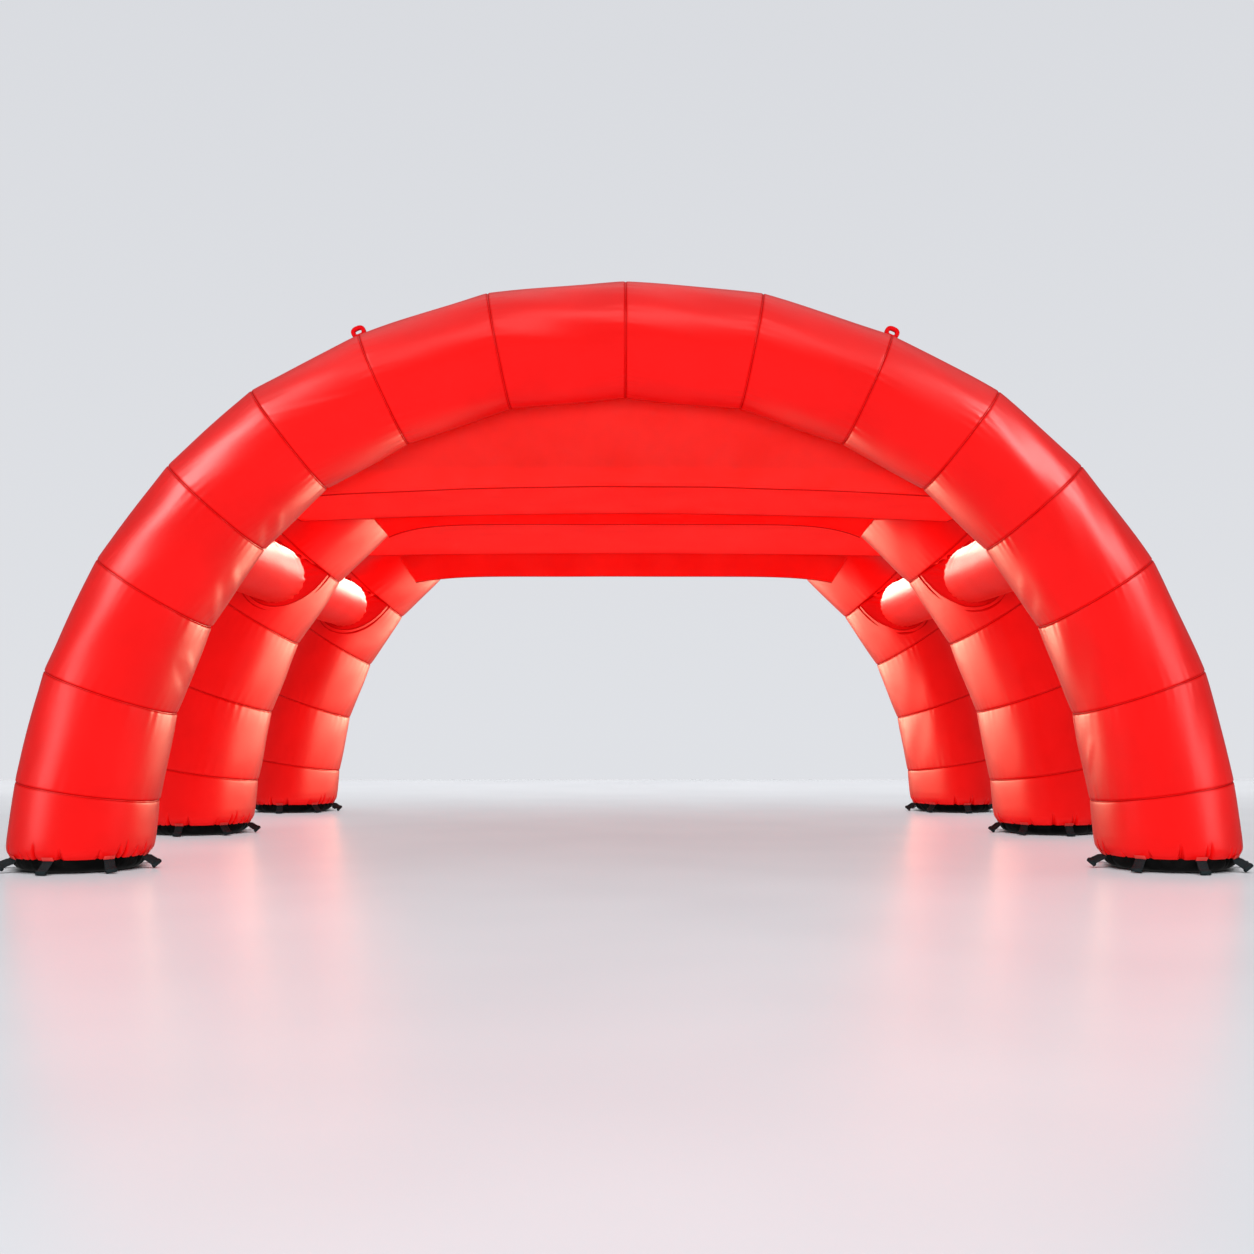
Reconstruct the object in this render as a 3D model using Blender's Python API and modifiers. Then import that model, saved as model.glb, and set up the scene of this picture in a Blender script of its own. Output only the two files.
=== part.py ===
"""An inflatable arch tunnel: three blown-up tube arches, tied by inflated spacer tubes at the haunches,
with flat ceiling cloths, hanging headers, black base bags and webbing tie-down straps.

Metres, +Z up. The origin is on the ground under the middle of the tunnel. +X runs across the span and +Y
from the front arch to the rear arch. Run with: blender --background --python part.py
"""

import math

import bmesh
import bpy
from mathutils import Vector

# The tunnel
BAY = 2.90  # from one arch's middle plane to the next
ARCHES = (
    # name, place along Y, size of its centre line against the end arches'
    ("front", -BAY, 1.0),
    ("middle", 0.0, 1.033),
    ("rear", BAY, 1.0),
)
SIDES_OF_FOOT = (("left", -1), ("right", 1))

# The tube of an end arch
CROWN_HEIGHT = 3.423  # centre line above the ground at the crown
CROWN_RADIUS = 0.373
TAPER = 0.205  # how much wider the tube would be at the ground, as a share of its crown radius
GORE_BULGE = 0.006  # how far a gore stands proud half-way between its seams
GORES = (
    # One row for each gore, from the crown down to the last cross seam: its length along the centre line,
    # its slope below the horizontal and how far its lower seam leans out of square, in degrees.
    (0.830, 5.2, -1.0),
    (0.795, 18.8, 0.2),
    (0.694, 28.6, 1.0),
    (0.644, 43.7, -1.4),
    (0.679, 55.2, -3.3),
    (0.691, 67.5, -2.0),
    (0.642, 78.2, -0.1),
)
FOOT_SLOPE = 84.3
TUBE_SIDES = 24
FOOT_RINGS = (
    # height above the ground, radius: the last cross seam down to the gathered hem
    (0.200, 0.441),
    (0.120, 0.433),
    (0.0803, 0.410),
)

# The black base bag under each foot, as a turned profile from its top to the ground
BASE_TOP = 0.080
BASE_PROFILE = (
    # radius, height
    (0.410, BASE_TOP),
    (0.392, 0.040),
    (0.310, 0.0),
)
BASE_SIDES = 24

# The inflated spacer tubes between neighbouring arches
SPACER_RADIUS = 0.235
SPACER_X = 2.895
SPACER_HEIGHT = 2.150
SPACER_SIDES = 16
GAP = 0.0004  # between pieces that are sewn or laced together

# The cloths
CLOTH = 0.002  # thickness
TANGENT_PLANE = 0.405  # from an arch's middle plane to the flat of its header
HEADER_FLAT_FROM = 0.3  # share of the header's height below which it hangs flat
HEADER_SEAM = 3  # the cross seam near which a header ends
HEADERS = (
    # arch, side of the arch it hangs on, how far past its seam it ends, then its lower edge: height in the
    # middle, height at the corner, corner's distance from the middle, and the power of its curve
    ("front", 1, 0.19, 2.519, 2.450, 2.148, 2),
    ("middle", -1, 0.0, 2.558, 2.449, 1.949, 8),
    ("rear", -1, 0.19, 2.430, 2.364, 2.148, 7),
)
CEILING_HALF_WIDTH = 2.68
CEILING_HEIGHTS = {
    # arch: height in the middle of the span, and how fast it falls with the square of the distance from it
    "front": (2.660, 0.0060),
    "middle": (2.653, 0.0092),
    "rear": (2.671, 0.0029),
}
CEILING_COLUMNS = 6
CEILING_CLEARANCE = 0.014  # around the tube that passes through a ceiling
THROAT_ROWS = 8

# The straps and loops
STRAP_WIDTH = 0.065
STRAP_AZIMUTHS = (0, 45, 90, 180, -90, -45)  # degrees from -Y towards the outside of the tunnel
STRAP_OUTLINE = (
    # distance from the foot's axis, height: the root against the base, then round the end's eye
    (0.4061, 0.0780),
    (0.4034, 0.0720),
    (0.4850, 0.0130),
    (0.4890, 0.0),
    (0.5080, 0.0),
    (0.5080, 0.0190),
    (0.4925, 0.0190),
)
STRAP_EYE = ((0.4925, 0.0035), (0.5045, 0.0035), (0.5045, 0.0155), (0.4925, 0.0155))
LOOP_SEAM = 2
LOOP_WIDTH = 0.040
LOOP_OUTLINE = (
    # along the arch, out from the tube
    (-0.048, 0.0),
    (0.048, 0.0),
    (0.047, 0.030),
    (0.040, 0.062),
    (0.022, 0.076),
    (-0.022, 0.076),
    (-0.040, 0.062),
    (-0.047, 0.030),
)
LOOP_EYE = ((-0.020, 0.022), (0.020, 0.022), (0.018, 0.047), (-0.018, 0.047))

MATERIALS = {
    # name: (red, green, blue), roughness
    "red_cloth": ((0.93, 0.012, 0.010), 0.42),
    "black_cloth": ((0.012, 0.012, 0.012), 0.5),
    "black_webbing": ((0.02, 0.02, 0.021), 0.7),
    "red_webbing": ((0.62, 0.008, 0.008), 0.6),
}


def clear_scene():
    for obj in list(bpy.data.objects):
        bpy.data.objects.remove(obj)


def make_collection(name):
    collection = bpy.data.collections.new(name)
    bpy.context.scene.collection.children.link(collection)
    return collection


def make_material(name):
    (red, green, blue), roughness = MATERIALS[name]
    material = bpy.data.materials.new(name)
    material.use_nodes = True
    shader = material.node_tree.nodes["Principled BSDF"]
    shader.inputs["Base Color"].default_value = (red, green, blue, 1)
    shader.inputs["Roughness"].default_value = roughness
    shader.inputs["Metallic"].default_value = 0
    return material


def add_object(name, data, material, collection):
    data.materials.append(material)
    obj = bpy.data.objects.new(name, data)
    collection.objects.link(obj)
    return obj


def tube_radius(height, scale):
    return CROWN_RADIUS * (1 + TAPER * (1 - height / (CROWN_HEIGHT * scale)))


def half_seams(scale):
    """(x, height, slope) of each cross seam from the crown to the last one above the right foot."""
    x, height, slope_above = 0.0, CROWN_HEIGHT * scale, 0.0
    seams = [(x, height, 0.0)]
    slopes = [slope for _, slope, _ in GORES] + [FOOT_SLOPE]
    for (length, slope, lean), slope_below in zip(GORES, slopes[1:]):
        x += length * scale * math.cos(math.radians(slope))
        height -= length * scale * math.sin(math.radians(slope))
        seams.append((x, height, (slope + slope_below) / 2 + lean))
    return seams


def seam_stretch(index):
    """How much longer than the tube's width a seam is, because it lies in the mitre between two gores."""
    slopes = [-GORES[0][1]] + [slope for _, slope, _ in GORES] + [FOOT_SLOPE]
    return 1 / math.cos(math.radians(slopes[index + 1] - slopes[index]) / 2)


def half_stations(scale):
    """(x, height, slope, radius, stretch) of every ring of the tube from the crown to the right foot's hem."""
    seams = half_seams(scale)
    stations = []
    for index, (x, height, slope) in enumerate(seams):
        stations.append((x, height, slope, tube_radius(height, scale), seam_stretch(index)))
        if index < len(GORES):
            next_x, next_height, _ = seams[index + 1]
            middle = (height + next_height) / 2
            radius = tube_radius(middle, scale) + GORE_BULGE
            stations.append(((x + next_x) / 2, middle, GORES[index][1], radius, 1.0))
    last_x, last_height, _ = seams[-1]
    for height, radius in FOOT_RINGS:
        x = last_x + (last_height - height) / math.tan(math.radians(FOOT_SLOPE))
        stations.append((x, height, 90.0, radius, 1.0))
    return stations


def ring_points(station, side, along_y, grow):
    x, height, slope, radius, stretch = station
    out = Vector((side * math.sin(math.radians(slope)), 0, math.cos(math.radians(slope))))
    centre = Vector((side * x, along_y, height))
    points = []
    for step in range(TUBE_SIDES):
        angle = 2 * math.pi * step / TUBE_SIDES
        across = Vector((0, math.sin(angle), 0))
        points.append(centre + (radius + grow) * (math.cos(angle) * stretch * out + across))
    return points


def loft(name, rings):
    """A closed mesh through rings of points that each have as many points, with flat ends."""
    mesh = bpy.data.meshes.new(name)
    bm = bmesh.new()
    loops = [[bm.verts.new(point) for point in ring] for ring in rings]
    for one, other in zip(loops, loops[1:]):
        for step in range(len(one)):
            after = (step + 1) % len(one)
            bm.faces.new((one[step], one[after], other[after], other[step]))
    bm.faces.new(loops[0])
    bm.faces.new(loops[-1])
    bmesh.ops.recalc_face_normals(bm, faces=bm.faces)
    bm.to_mesh(mesh)
    bm.free()
    mesh.shade_smooth()
    mesh.set_sharp_from_angle(angle=math.radians(40))
    return mesh


def arch_mesh(name, along_y, scale, grow=0.0):
    half = half_stations(scale)
    rings = [ring_points(station, -1, along_y, grow) for station in reversed(half[1:])]
    rings += [ring_points(station, 1, along_y, grow) for station in half]
    return loft(name, rings)


def foot_x(scale):
    last_x, last_height, _ = half_seams(scale)[-1]
    return last_x + (last_height - BASE_TOP) / math.tan(math.radians(FOOT_SLOPE))


def base_mesh(material):
    """The half section of a base bag, which a Screw modifier turns into the bag."""
    mesh = bpy.data.meshes.new("base_profile")
    points = [(0, 0, BASE_TOP)] + [(r, 0, z) for r, z in BASE_PROFILE] + [(0, 0, 0)]
    mesh.from_pydata(points, [(i, i + 1) for i in range(len(points) - 1)], [])
    mesh.materials.append(material)
    return mesh


def add_bases(collection, material):
    mesh = base_mesh(material)
    for arch, along_y, scale in ARCHES:
        for side_name, side in SIDES_OF_FOOT:
            base = bpy.data.objects.new(f"base_{arch}_{side_name}", mesh)
            collection.objects.link(base)
            base.location = (side * foot_x(scale), along_y, 0)
            base.rotation_euler = (0, 0, math.pi / BASE_SIDES)
            screw = base.modifiers.new("turn", "SCREW")
            screw.steps = screw.render_steps = BASE_SIDES
            screw.use_merge_vertices = True
            screw.merge_threshold = 0.0001
            screw.use_smooth_shade = True


def add_arches(collection, cutters, material):
    """The three tubes, and for each a copy grown by GAP that trims the spacers' ends."""
    grown = {}
    for arch, along_y, scale in ARCHES:
        name = f"arch_{arch}"
        add_object(name, arch_mesh(name, along_y, scale), material, collection)
        cutter = add_object(f"{name}_grown", arch_mesh(f"{name}_grown", along_y, scale, GAP), material, cutters)
        cutter.display_type = "WIRE"
        cutter.hide_render = True
        grown[arch] = cutter
    return grown


def spacer_mesh(name, side, start, end):
    rings = []
    for along_y in (start, (start + end) / 2, end):
        ring = []
        for step in range(SPACER_SIDES):
            angle = 2 * math.pi * step / SPACER_SIDES
            x = side * SPACER_X + SPACER_RADIUS * math.cos(angle)
            ring.append((x, along_y, SPACER_HEIGHT + SPACER_RADIUS * math.sin(angle)))
        rings.append(ring)
    return loft(name, rings)


def add_spacers(collection, grown, material):
    """Each spacer runs from one arch's middle plane to the next and is trimmed to both tubes' faces."""
    inset = CROWN_RADIUS / 4
    for (first, first_y, _), (second, second_y, _) in zip(ARCHES, ARCHES[1:]):
        for side_name, side in SIDES_OF_FOOT:
            name = f"spacer_{first}_{side_name}"
            mesh = spacer_mesh(name, side, first_y + inset, second_y - inset)
            spacer = add_object(name, mesh, material, collection)
            for arch in (first, second):
                cut = spacer.modifiers.new(f"trim_{arch}", "BOOLEAN")
                cut.operation = "DIFFERENCE"
                cut.solver = "EXACT"
                cut.object = grown[arch]


def sheet(name, grid, material, collection):
    """A cloth of CLOTH thickness whose middle surface passes through the rows of points."""
    columns = len(grid[0])
    points = [point for row in grid for point in row]
    faces = []
    for row in range(len(grid) - 1):
        for column in range(columns - 1):
            corner = row * columns + column
            faces.append((corner, corner + 1, corner + columns + 1, corner + columns))
    mesh = bpy.data.meshes.new(name)
    mesh.from_pydata(points, [], faces)
    obj = add_object(name, mesh, material, collection)
    solidify = obj.modifiers.new("thickness", "SOLIDIFY")
    solidify.thickness = CLOTH
    solidify.offset = 0
    return obj


def header_top(scale, past_seam):
    """(x, height, radius) of the tube along its header, from the crown to the header's right end."""
    half = half_stations(scale)
    last = 2 * HEADER_SEAM
    stations = [(x, height, radius) for x, height, _, radius, _ in half[: last + 1]]
    if past_seam:
        share = past_seam / (GORES[HEADER_SEAM][0] * scale / 2)
        ends = zip(stations[-1], (half[last + 1][0], half[last + 1][1], half[last + 1][3]))
        stations.append(tuple(a + (b - a) * share for a, b in ends))
    return stations


def add_headers(collection, material):
    """Each header is sewn along the line where a vertical plane touches its tube, and hangs down from it."""
    places = {arch: (along_y, scale) for arch, along_y, scale in ARCHES}
    for arch, face, past_seam, middle, corner, corner_x, power in HEADERS:
        along_y, scale = places[arch]
        right = header_top(scale, past_seam)
        stations = [(-x, height, radius) for x, height, radius in reversed(right[1:])] + right
        end_x = right[-1][0]
        flat = along_y + face * TANGENT_PLANE
        grid = []
        for x, height, radius in stations:
            low_x = x / end_x * corner_x
            low = middle - (middle - corner) * abs(x / end_x) ** power
            sewn = along_y + face * (radius + GAP + CLOTH / 2)
            knee = (x + (low_x - x) * HEADER_FLAT_FROM, height + (low - height) * HEADER_FLAT_FROM)
            grid.append([(x, sewn, height), (knee[0], flat, knee[1]), (low_x, flat, low)])
        sheet(f"header_{arch}", grid, material, collection)


def ceiling_height(bay, share, x):
    (start, start_fall), (end, end_fall) = (CEILING_HEIGHTS[arch] for arch in bay)
    fall = start_fall + (end_fall - start_fall) * share
    return start + (end - start) * share - fall * x * x


def ceiling_rows_in_bay(start, end):
    return [(start, CEILING_HALF_WIDTH), ((start + end) / 2, CEILING_HALF_WIDTH), (end, CEILING_HALF_WIDTH)]


def throat_half_width(along_y, level, clear):
    """Half the width left at a level between the middle arch's haunches, which two gores bound on each side."""
    widths = []
    x, height, _ = half_seams(ARCHES[1][2])[HEADER_SEAM]
    for _, slope, _ in GORES[HEADER_SEAM - 1 : HEADER_SEAM + 1]:
        slope = math.radians(slope)
        centre_x = x + (height - level) / math.tan(slope)
        widths.append(centre_x - math.sqrt(max(0.0, clear**2 - along_y**2)) / math.sin(slope))
    return min(widths)


def throat_rows():
    """(y, half width) of the rear ceiling where it passes under the middle arch, between its two haunches."""
    level = CEILING_HEIGHTS["middle"][0]
    clear = tube_radius(level, ARCHES[1][2]) + GORE_BULGE + CEILING_CLEARANCE
    start = -TANGENT_PLANE + CLOTH / 2 + GAP
    rows = [(start, throat_half_width(start, level, clear))]
    for step in range(1, THROAT_ROWS + 1):
        along_y = -clear * math.cos(math.pi * step / THROAT_ROWS)
        if along_y > start:
            rows.append((along_y, throat_half_width(along_y, level, clear)))
    return rows


def add_ceilings(collection, material):
    reach = TANGENT_PLANE + CLOTH / 2 + GAP
    beside_tube = 0.01
    behind = ARCHES[1][1] + tube_radius(0, 1) + beside_tube
    front_rows = ceiling_rows_in_bay(-BAY + reach, -reach)
    rear_rows = throat_rows() + ceiling_rows_in_bay(behind, BAY - reach)
    for name, bay, rows in (
        ("front", ("front", "middle"), front_rows),
        ("rear", ("middle", "rear"), rear_rows),
    ):
        grid = []
        for along_y, half_width in rows:
            share = (along_y - rows[0][0]) / (rows[-1][0] - rows[0][0])
            row = []
            for step in range(CEILING_COLUMNS + 1):
                x = half_width * (2 * step / CEILING_COLUMNS - 1)
                row.append((x, along_y, ceiling_height(bay, share, x)))
            grid.append(row)
        sheet(f"ceiling_{name}", grid, material, collection)


def flat_shape(name, outline, eye, width, material):
    """A flat outline with an eye in it, extruded to its width."""
    curve = bpy.data.curves.new(name, "CURVE")
    curve.dimensions = "2D"
    curve.fill_mode = "BOTH"
    curve.extrude = width / 2
    for points in (outline, eye):
        spline = curve.splines.new("POLY")
        spline.points.add(len(points) - 1)
        for point, (across, up) in zip(spline.points, points):
            point.co = (across, up, 0, 1)
        spline.use_cyclic_u = True
    curve.materials.append(material)
    return curve


def add_straps(collection, material):
    curve = flat_shape("strap", STRAP_OUTLINE, STRAP_EYE, STRAP_WIDTH, material)
    for arch, along_y, scale in ARCHES:
        for side_name, side in SIDES_OF_FOOT:
            for number, azimuth in enumerate(STRAP_AZIMUTHS, 1):
                strap = bpy.data.objects.new(f"strap_{arch}_{side_name}_{number}", curve)
                collection.objects.link(strap)
                strap.location = (side * foot_x(scale), along_y, 0)
                strap.rotation_euler = (math.pi / 2, 0, math.radians(-90 + side * azimuth))


def add_loops(collection, material):
    curve = flat_shape("loop", LOOP_OUTLINE, LOOP_EYE, LOOP_WIDTH, material)
    for arch, along_y, scale in ARCHES:
        if arch == "middle":
            continue
        x, height, slope, radius, stretch = half_stations(scale)[2 * LOOP_SEAM]
        slope = math.radians(slope)
        out = radius * stretch + GAP
        for side_name, side in SIDES_OF_FOOT:
            loop = bpy.data.objects.new(f"loop_{arch}_{side_name}", curve)
            collection.objects.link(loop)
            place = (side * (x + out * math.sin(slope)), along_y, height + out * math.cos(slope))
            loop.location = place
            loop.rotation_euler = (math.pi / 2, side * slope, 0)


def main():
    clear_scene()
    bpy.context.scene.unit_settings.scale_length = 1
    parts = make_collection("inflatable_arch")
    cutters = make_collection("cutters")
    materials = {name: make_material(name) for name in MATERIALS}
    grown = add_arches(parts, cutters, materials["red_cloth"])
    add_bases(parts, materials["black_cloth"])
    add_spacers(parts, grown, materials["red_cloth"])
    add_headers(parts, materials["red_cloth"])
    add_ceilings(parts, materials["red_cloth"])
    add_straps(parts, materials["black_webbing"])
    add_loops(parts, materials["red_webbing"])


main()
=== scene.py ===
"""The looks of an inflatable arch tunnel: three blown-up red tube arches on black feet, tied by spacer tubes,
with taut ceiling cloths, hanging headers, webbing tie-downs and top loops.

Metres, +Z up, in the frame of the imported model. +X runs across the span, +Y from the front arch to the rear.
"""

import math

import bpy
import numpy as np
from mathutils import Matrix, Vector


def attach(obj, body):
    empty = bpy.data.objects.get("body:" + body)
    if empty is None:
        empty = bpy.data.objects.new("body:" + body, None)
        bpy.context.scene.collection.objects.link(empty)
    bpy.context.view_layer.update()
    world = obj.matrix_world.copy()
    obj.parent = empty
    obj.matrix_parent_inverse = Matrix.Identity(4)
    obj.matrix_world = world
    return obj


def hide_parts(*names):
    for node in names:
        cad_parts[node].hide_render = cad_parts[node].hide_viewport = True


# The tunnel, as the solids have it
BAY = 2.90
ARCHES = (
    # name, place along Y, size of its centre line against the end arches', seed of its creases
    ("front", -BAY, 1.0, 11),
    ("middle", 0.0, 1.033, 23),
    ("rear", BAY, 1.0, 37),
)
SIDES = (("left", -1), ("right", 1))
CROWN_HEIGHT = 3.423
CROWN_RADIUS = 0.373
TAPER = 0.205
GORES = (
    # length along the centre line, slope below the horizontal, lean of its lower seam, from the crown down
    (0.830, 5.2, -1.0),
    (0.795, 18.8, 0.2),
    (0.694, 28.6, 1.0),
    (0.644, 43.7, -1.4),
    (0.679, 55.2, -3.3),
    (0.691, 67.5, -2.0),
    (0.642, 78.2, -0.1),
)
FOOT_SLOPE = 84.3
HEM_HEIGHT = 0.0803
HEM_RADIUS = 0.411
BELLY_HEIGHT = 0.150  # where a foot is widest
BELLY_RADIUS = 0.442
TUCK_HEIGHT = 0.09  # below the belly the skin rounds in to the hem
TUCK_DEPTH = 0.097
PLAIN_BELOW = 0.1  # a foot's skin has no shoulder below this height
FADE_OVER = 0.1  # and gets it back over so much above
GROUND_RADIUS = 0.308  # where a black base leaves the floor
SPACER_RADIUS = 0.235
SPACER_X = 2.895
SPACER_HEIGHT = 2.150
TANGENT_PLANE = 0.405
HEADER_FLAT_FROM = 0.3
HEADER_SEAM = 3
HEADERS = (
    # arch, side of the arch, how far past its seam it ends, lower edge: middle, corner, corner's x, power
    ("front", 1, 0.19, 2.519, 2.450, 2.148, 2),
    ("middle", -1, 0.0, 2.558, 2.449, 1.949, 8),
    ("rear", -1, 0.19, 2.430, 2.364, 2.148, 7),
)
CEILING_HALF_WIDTH = 2.68
CEILING_HEIGHTS = {"front": (2.660, 0.0060), "middle": (2.653, 0.0092), "rear": (2.671, 0.0029)}
CLOTH = 0.002

# The tube's skin
TUBE_SIDES = 192
FOOT_TOP = 0.10  # below the last seam, where the foot's finer rows start
FOOT_ROWS = (
    # sides, whether the rows are placed by their distance from the seam, the rows
    (TUBE_SIDES, True, (0.003, 0.007, 0.012, 0.020, 0.035, 0.060, 0.10)),
    (2 * TUBE_SIDES, False, (0.06, 0.14, 0.22, 0.30, 0.38, 0.45)),
    (
        4 * TUBE_SIDES,
        False,
        (0.50, 0.55, 0.60, 0.65, 0.69, 0.73, 0.77, 0.81, 0.85, 0.89, 0.93, 0.965, 0.985, 1.0),
    ),
)
NEAR_SEAM = (0.003, 0.007, 0.012, 0.020, 0.035, 0.060)  # rows beside a seam, by their distance from it
ROWS_BETWEEN = 7
GROOVE_DEPTH = 0.006
GROOVE_WIDTH = 0.0060
SHOULDER = 0.005  # how far a gore swells beside a seam
SHOULDER_REACH = 0.070
SEAM_WANDER = 0.0015
GORE_WOBBLE = 0.002
RIPPLE = 0.0006  # height of the fine gathers beside a seam
RIPPLE_INSIDE = 0.0010  # so much more on the inside of the bend
RIPPLE_REACH = 0.07


# ---------------------------------------------------------------- camera, light and floor

PHOTO_SIDE = 1254  # pixels
FOCAL_PIXELS = 1400
CAMERA_AT = (-0.026, -11.929, 0.918)
CAMERA_PITCH = 3.928
CAMERA_YAW = -0.229
SENSOR = 36.0


def add_camera():
    data = bpy.data.cameras.new("camera")
    data.sensor_width = SENSOR
    data.lens = SENSOR * FOCAL_PIXELS / PHOTO_SIDE
    data.clip_end = 200
    camera = bpy.data.objects.new("camera", data)
    bpy.context.scene.collection.objects.link(camera)
    camera.location = CAMERA_AT
    camera.rotation_euler = (math.radians(90 + CAMERA_PITCH), 0, math.radians(CAMERA_YAW))
    bpy.context.scene.camera = camera


SOFTBOXES = (
    # place, aim, width, height, power; each also stands mirrored on the other side unless it is in the middle
    ((8.9, -6.9, 2.0), (4.3, -3.2, 1.2), 2.6, 4.2, 68),
    ((7.1, -6.8, 6.0), (3.4, -3.2, 2.6), 2.8, 3.6, 194),
    ((0.0, -8.0, 7.1), (0.0, -3.2, 3.1), 6.4, 2.0, 56),
)
SOFTBOX_SPREAD = 70  # degrees
FILLS = (
    # name, place, aim, power, width and height, what it lights
    ("fill", (0, -14.0, 1.6), (0, 0, 1.5), 1070, (12, 3), "everything"),
    ("inner_fill", (0, -14.0, 1.6), (0, 0, 1.5), 1100, (12, 3), "behind_front"),
    ("under_fill", (0, 0, 0.3), (0, 0, 3.0), 66, (6, 7), "sheets"),
    ("far_floor_light", (0, 9.0, 4.0), (0, 9.0, 0), 1250, (30, 6), "floor"),
)
STRIP_PLACE = (0, 9.0, 0.95)
STRIP_POWER = 3100
STRIP_SIZE = (22.0, 1.1)
STRIP_SPREAD = 140  # degrees
CARD_PLACE = (2.9, 8.0, 4.3)  # and mirrored
CARD_AIM = (2.9, 0, 2.2)
CARD_POWER = 1000
CARD_SIZE = (4.6, 2.8)
WHITE = (1.0, 0.985, 0.96)
WARM = (1.0, 0.60, 0.40)
CREAM = (1.0, 0.88, 0.72)
FLOOR_LIGHT = 7.9
FLOOR_LIGHT_ANGLE = 70  # degrees
FRONT_POWER = 0.12
BACK_POWER = 0.22
TOP_POWER = 1.3


def add_light(kind, name, place=(0, 0, 5), aim=(0, 0, 0), power=1.0, colour=WHITE, size=None):
    data = bpy.data.lights.new(name, kind)
    data.energy = power
    data.color = colour
    if size:
        data.shape = "RECTANGLE"
        data.size, data.size_y = size
    light = bpy.data.objects.new(name, data)
    bpy.context.scene.collection.objects.link(light)
    light.location = place
    light.rotation_euler = (Vector(aim) - Vector(place)).to_track_quat("-Z", "Y").to_euler()
    light.visible_camera = False
    return light


def shine_only_on(light, pieces, shadows_from=None):
    """Keeps a light to some pieces, with shadows from all or only from some."""
    for end, members in (("receiver", pieces), ("blocker", shadows_from)):
        if members is None:
            continue
        group = bpy.data.collections.new(f"{light.name}_{end}s")
        for piece in members:
            group.objects.link(piece)
        setattr(light.light_linking, f"{end}_collection", group)


def mirrored(place, side):
    return (side * place[0], *place[1:])


def add_softboxes(front_arch):
    for number, (place, aim, width, height, power) in enumerate(SOFTBOXES):
        for side in (-1, 1) if place[0] else (1,):
            at, towards = mirrored(place, side), mirrored(aim, side)
            softbox = add_light("AREA", f"softbox_{number}", at, towards, power, WHITE, (width, height))
            softbox.data.spread = math.radians(SOFTBOX_SPREAD)
            softbox.visible_diffuse = False
            shine_only_on(softbox, [front_arch])


def add_lights(arches, gussets_and_loops, spacers, sheets, blacks, floor):
    """Softboxes for the front arch, fills, warm strips for the legs' insides, cards for the spacers."""
    add_softboxes(arches[0])
    groups = {
        "everything": arches + gussets_and_loops + spacers + sheets + blacks,
        "behind_front": arches[1:] + gussets_and_loops + spacers,
        "sheets": sheets,
        "floor": [floor],
    }
    for name, place, aim, power, size, group in FILLS:
        fill = add_light("AREA", name, place, aim, power, WHITE, size)
        fill.visible_glossy = False
        shine_only_on(fill, groups[group])
    floor_light = add_light("SUN", "floor_light", power=FLOOR_LIGHT)
    floor_light.data.angle = math.radians(FLOOR_LIGHT_ANGLE)
    shine_only_on(floor_light, [floor], blacks)
    for name, side in SIDES:
        aim = (side, *STRIP_PLACE[1:])
        strip = add_light("AREA", f"{name}_strip", STRIP_PLACE, aim, STRIP_POWER, WARM, STRIP_SIZE)
        strip.data.spread = math.radians(STRIP_SPREAD)
        strip.visible_diffuse = False
        shine_only_on(strip, arches, arches + gussets_and_loops)
        place, aim = mirrored(CARD_PLACE, side), mirrored(CARD_AIM, side)
        card = add_light("AREA", f"{name}_card", place, aim, CARD_POWER, CREAM, CARD_SIZE)
        shine_only_on(card, spacers, spacers)


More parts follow.
